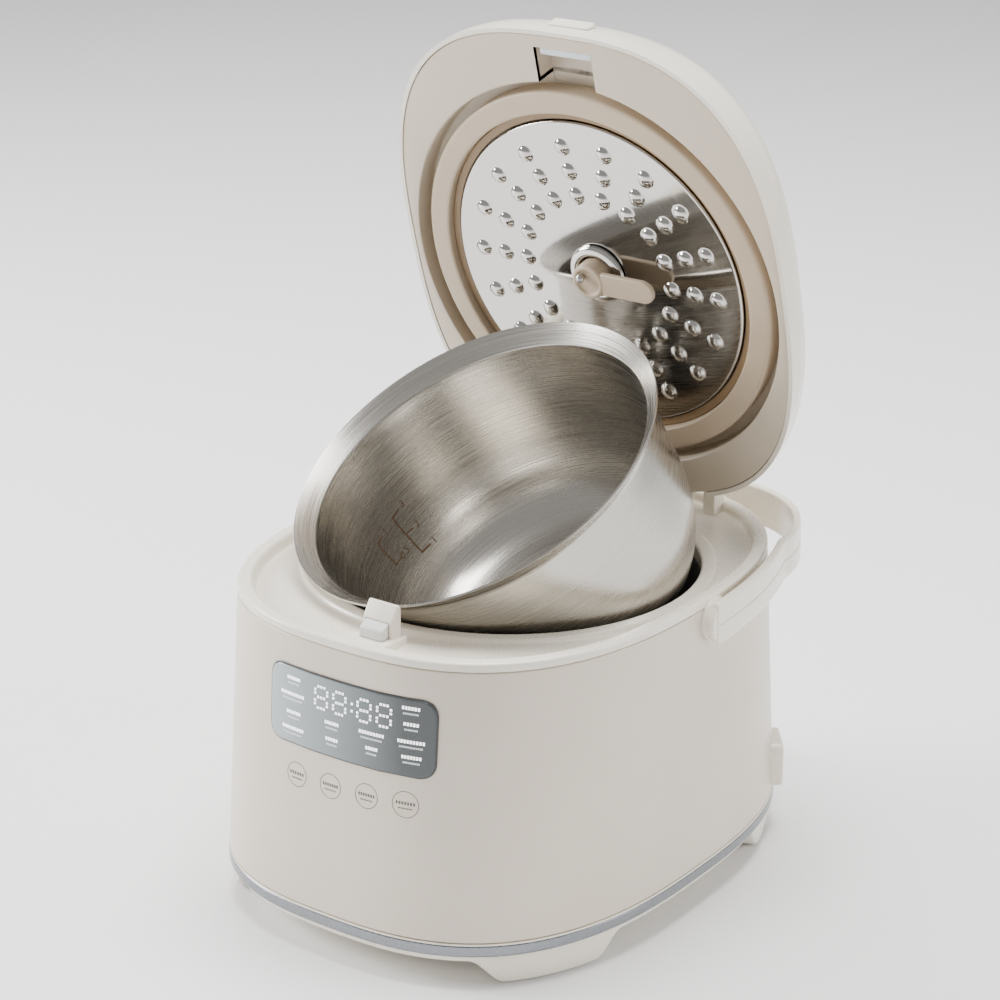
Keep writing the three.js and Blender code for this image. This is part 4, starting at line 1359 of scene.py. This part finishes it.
# ---- Power inlet, hinge and inside ----
@dataclass
class BackAndInside:
    """The power inlet at the rear corner, the hinge's pin and spring, and what the casing hides."""

    turn: float = 38.0
    inlet: tuple[float, float, float] = (108.4, 115.2, 41.0)
    coil_radius: float = 4.0
    wire: float = 0.6
    coils: int = 26

    def facing(self, points: np.ndarray) -> np.ndarray:
        """Returns points given as outwards, across and up, put in front of the inlet's middle."""
        turned_points = turn_about(points, np.array([0, 0, 1.0]), np.zeros(3), np.radians(self.turn))
        return turned_points + self.inlet

    def build(self) -> None:
        """Builds the inlet collar and its black lining, dresses the hidden nodes and winds the spring."""
        collar = slab(rounded_box(29, 27, 6.0), -13, 3, 1.6)
        collar = Patch(self.facing(along_x(collar)))
        piece = add_piece("inlet_collar", [collar], CREAM, "cooker", ("power_inlet",))
        hole = slab(rounded_box(22, 15, 2.0), -9, 8, 0.2)
        cut_away(piece, [Patch(self.facing(along_x(hole)))])
        outer, inner = rounded_box(21.9, 14.9, 2.0), rounded_box(20.3, 13.3, 1.6)
        loop = [(outer, -8.9), (outer, 2.2), (inner, 2.2), (inner, -7.6)]
        rows = np.stack([np.concatenate([line, np.full((len(line), 1), depth)], -1) for line, depth in loop])
        middle = [np.broadcast_to([[[0.0, 0.0, depth]]], (1, rows.shape[1], 3)) for depth in (-8.9, -7.6)]
        lining = np.concatenate([middle[0], rows, middle[1]])
        add_piece("inlet_lining", [Patch(self.facing(along_x(lining)))], BLACK, "cooker")
        for name in ("inlet_pin_1", "inlet_pin_2", "hinge_pin", "sensor_spring", "sensor_bracket"):
            dress_node(name, HARDWARE)
        dress_node("display_module", BLACK)
        for name in ("control_board", "power_board"):
            dress_node(name, BOARD)
        self.wind_spring()
        log.info("inlet, hinge and inside")

    def wind_spring(self) -> None:
        """Winds the hinge spring: a wire circle carried along a helix about the pin.

        A point is the pin's line plus coil_radius round it, plus the wire's circle, which lies across
        the helix's direction.
        """
        low, high = node_box("hinge_spring")
        t = np.linspace(0, 1, self.coils * 20)
        angle = 2 * np.pi * self.coils * t
        x = low[0] + 1 + (high[0] - low[0] - 2) * t
        outward = np.stack([0 * t, np.cos(angle), np.sin(angle)], -1)
        sideways = np.broadcast_to([1.0, 0, 0], outward.shape)
        ring = disc(self.wire, 8)
        wound = outward[:, None] * (self.coil_radius + ring[None, :, :1])
        wound = wound + sideways[:, None] * ring[None, :, 1:]
        centre = np.stack([x, np.full_like(x, HINGE[1]), np.full_like(x, HINGE[2])], -1)
        tube = wound + centre[:, None]
        caps = [tube[k].mean(0)[None, None].repeat(len(ring), 1) for k in (0, -1)]
        tube = np.concatenate([caps[0], tube, caps[1]])
        add_piece("hinge_spring_wire", [Patch(tube)], HARDWARE, "cooker", ("hinge_spring",))


# ---- Studio ----
@dataclass
class Studio:
    """The floor, the lights and the camera."""

    floor_half: float = 9.0
    camera_at: tuple[float, float, float] = (0.8472, -1.1686, 0.7548)
    look_at: tuple[float, float, float] = (-0.00517, 0.0, 0.20956)
    lens: float = 101.17

    def build(self) -> None:
        """Sets the floor, the sky, the softboxes and the camera."""
        half = self.floor_half
        mesh = bpy.data.meshes.new("floor")
        corners = [(-half, -half, 0), (half, -half, 0), (half, half, 0), (-half, half, 0)]
        mesh.from_pydata(corners, [], [(0, 1, 2, 3)])
        floor = bpy.data.objects.new("floor", mesh)
        bpy.context.scene.collection.objects.link(floor)
        mesh.materials.append(STUDIO_FLOOR.material())
        world = bpy.data.worlds.new("studio")
        world.use_nodes = True
        world.node_tree.nodes["Background"].inputs["Color"].default_value = (1, 0.99, 0.975, 1)
        world.node_tree.nodes["Background"].inputs["Strength"].default_value = 0.5
        bpy.context.scene.world = world
        self.softbox("left", (-1.9, -0.8, 1.0), 0.9, 72)
        self.softbox("right", (2.1, 0.9, 0.9), 0.8, 24)
        self.softbox("top", (-0.1, 0.3, 2.3), 1.3, 95)
        camera = bpy.data.objects.new("camera", bpy.data.cameras.new("camera"))
        camera.data.lens, camera.data.sensor_width, camera.data.clip_end = self.lens, 36.0, 100.0
        camera.location = self.camera_at
        aim = Vector(self.look_at) - Vector(self.camera_at)
        camera.rotation_euler = aim.to_track_quat("-Z", "Y").to_euler()
        bpy.context.scene.collection.objects.link(camera)
        bpy.context.scene.camera = camera
        log.info("studio")

    def softbox(self, name: str, at: tuple[float, float, float], size: float, power: float) -> None:
        """Adds one square light that looks at the cooker's middle.

        Args:
            name: The light's name.
            at: Where it hangs.
            size: Its side.
            power: Its power in watts.
        """
        light = bpy.data.lights.new(name, "AREA")
        light.size, light.energy = size, power
        lamp = bpy.data.objects.new(name, light)
        lamp.location = at
        lamp.rotation_euler = (Vector((0, 0, 0.2)) - Vector(at)).to_track_quat("-Z", "Y").to_euler()
        bpy.context.scene.collection.objects.link(lamp)


def main() -> None:
    """Builds the cooker's sub-assemblies in order, then the studio."""
    logging.basicConfig(level=logging.INFO, format="%(message)s")
    body = Body()
    parts = [body, Deck(body), Well(), FrontPanel(body), Handle(), Lid(), InnerPot(), BackAndInside()]
    for part in [*parts, Studio()]:
        part.build()
    bpy.context.view_layer.update()


if __name__ == "__main__":
    main()
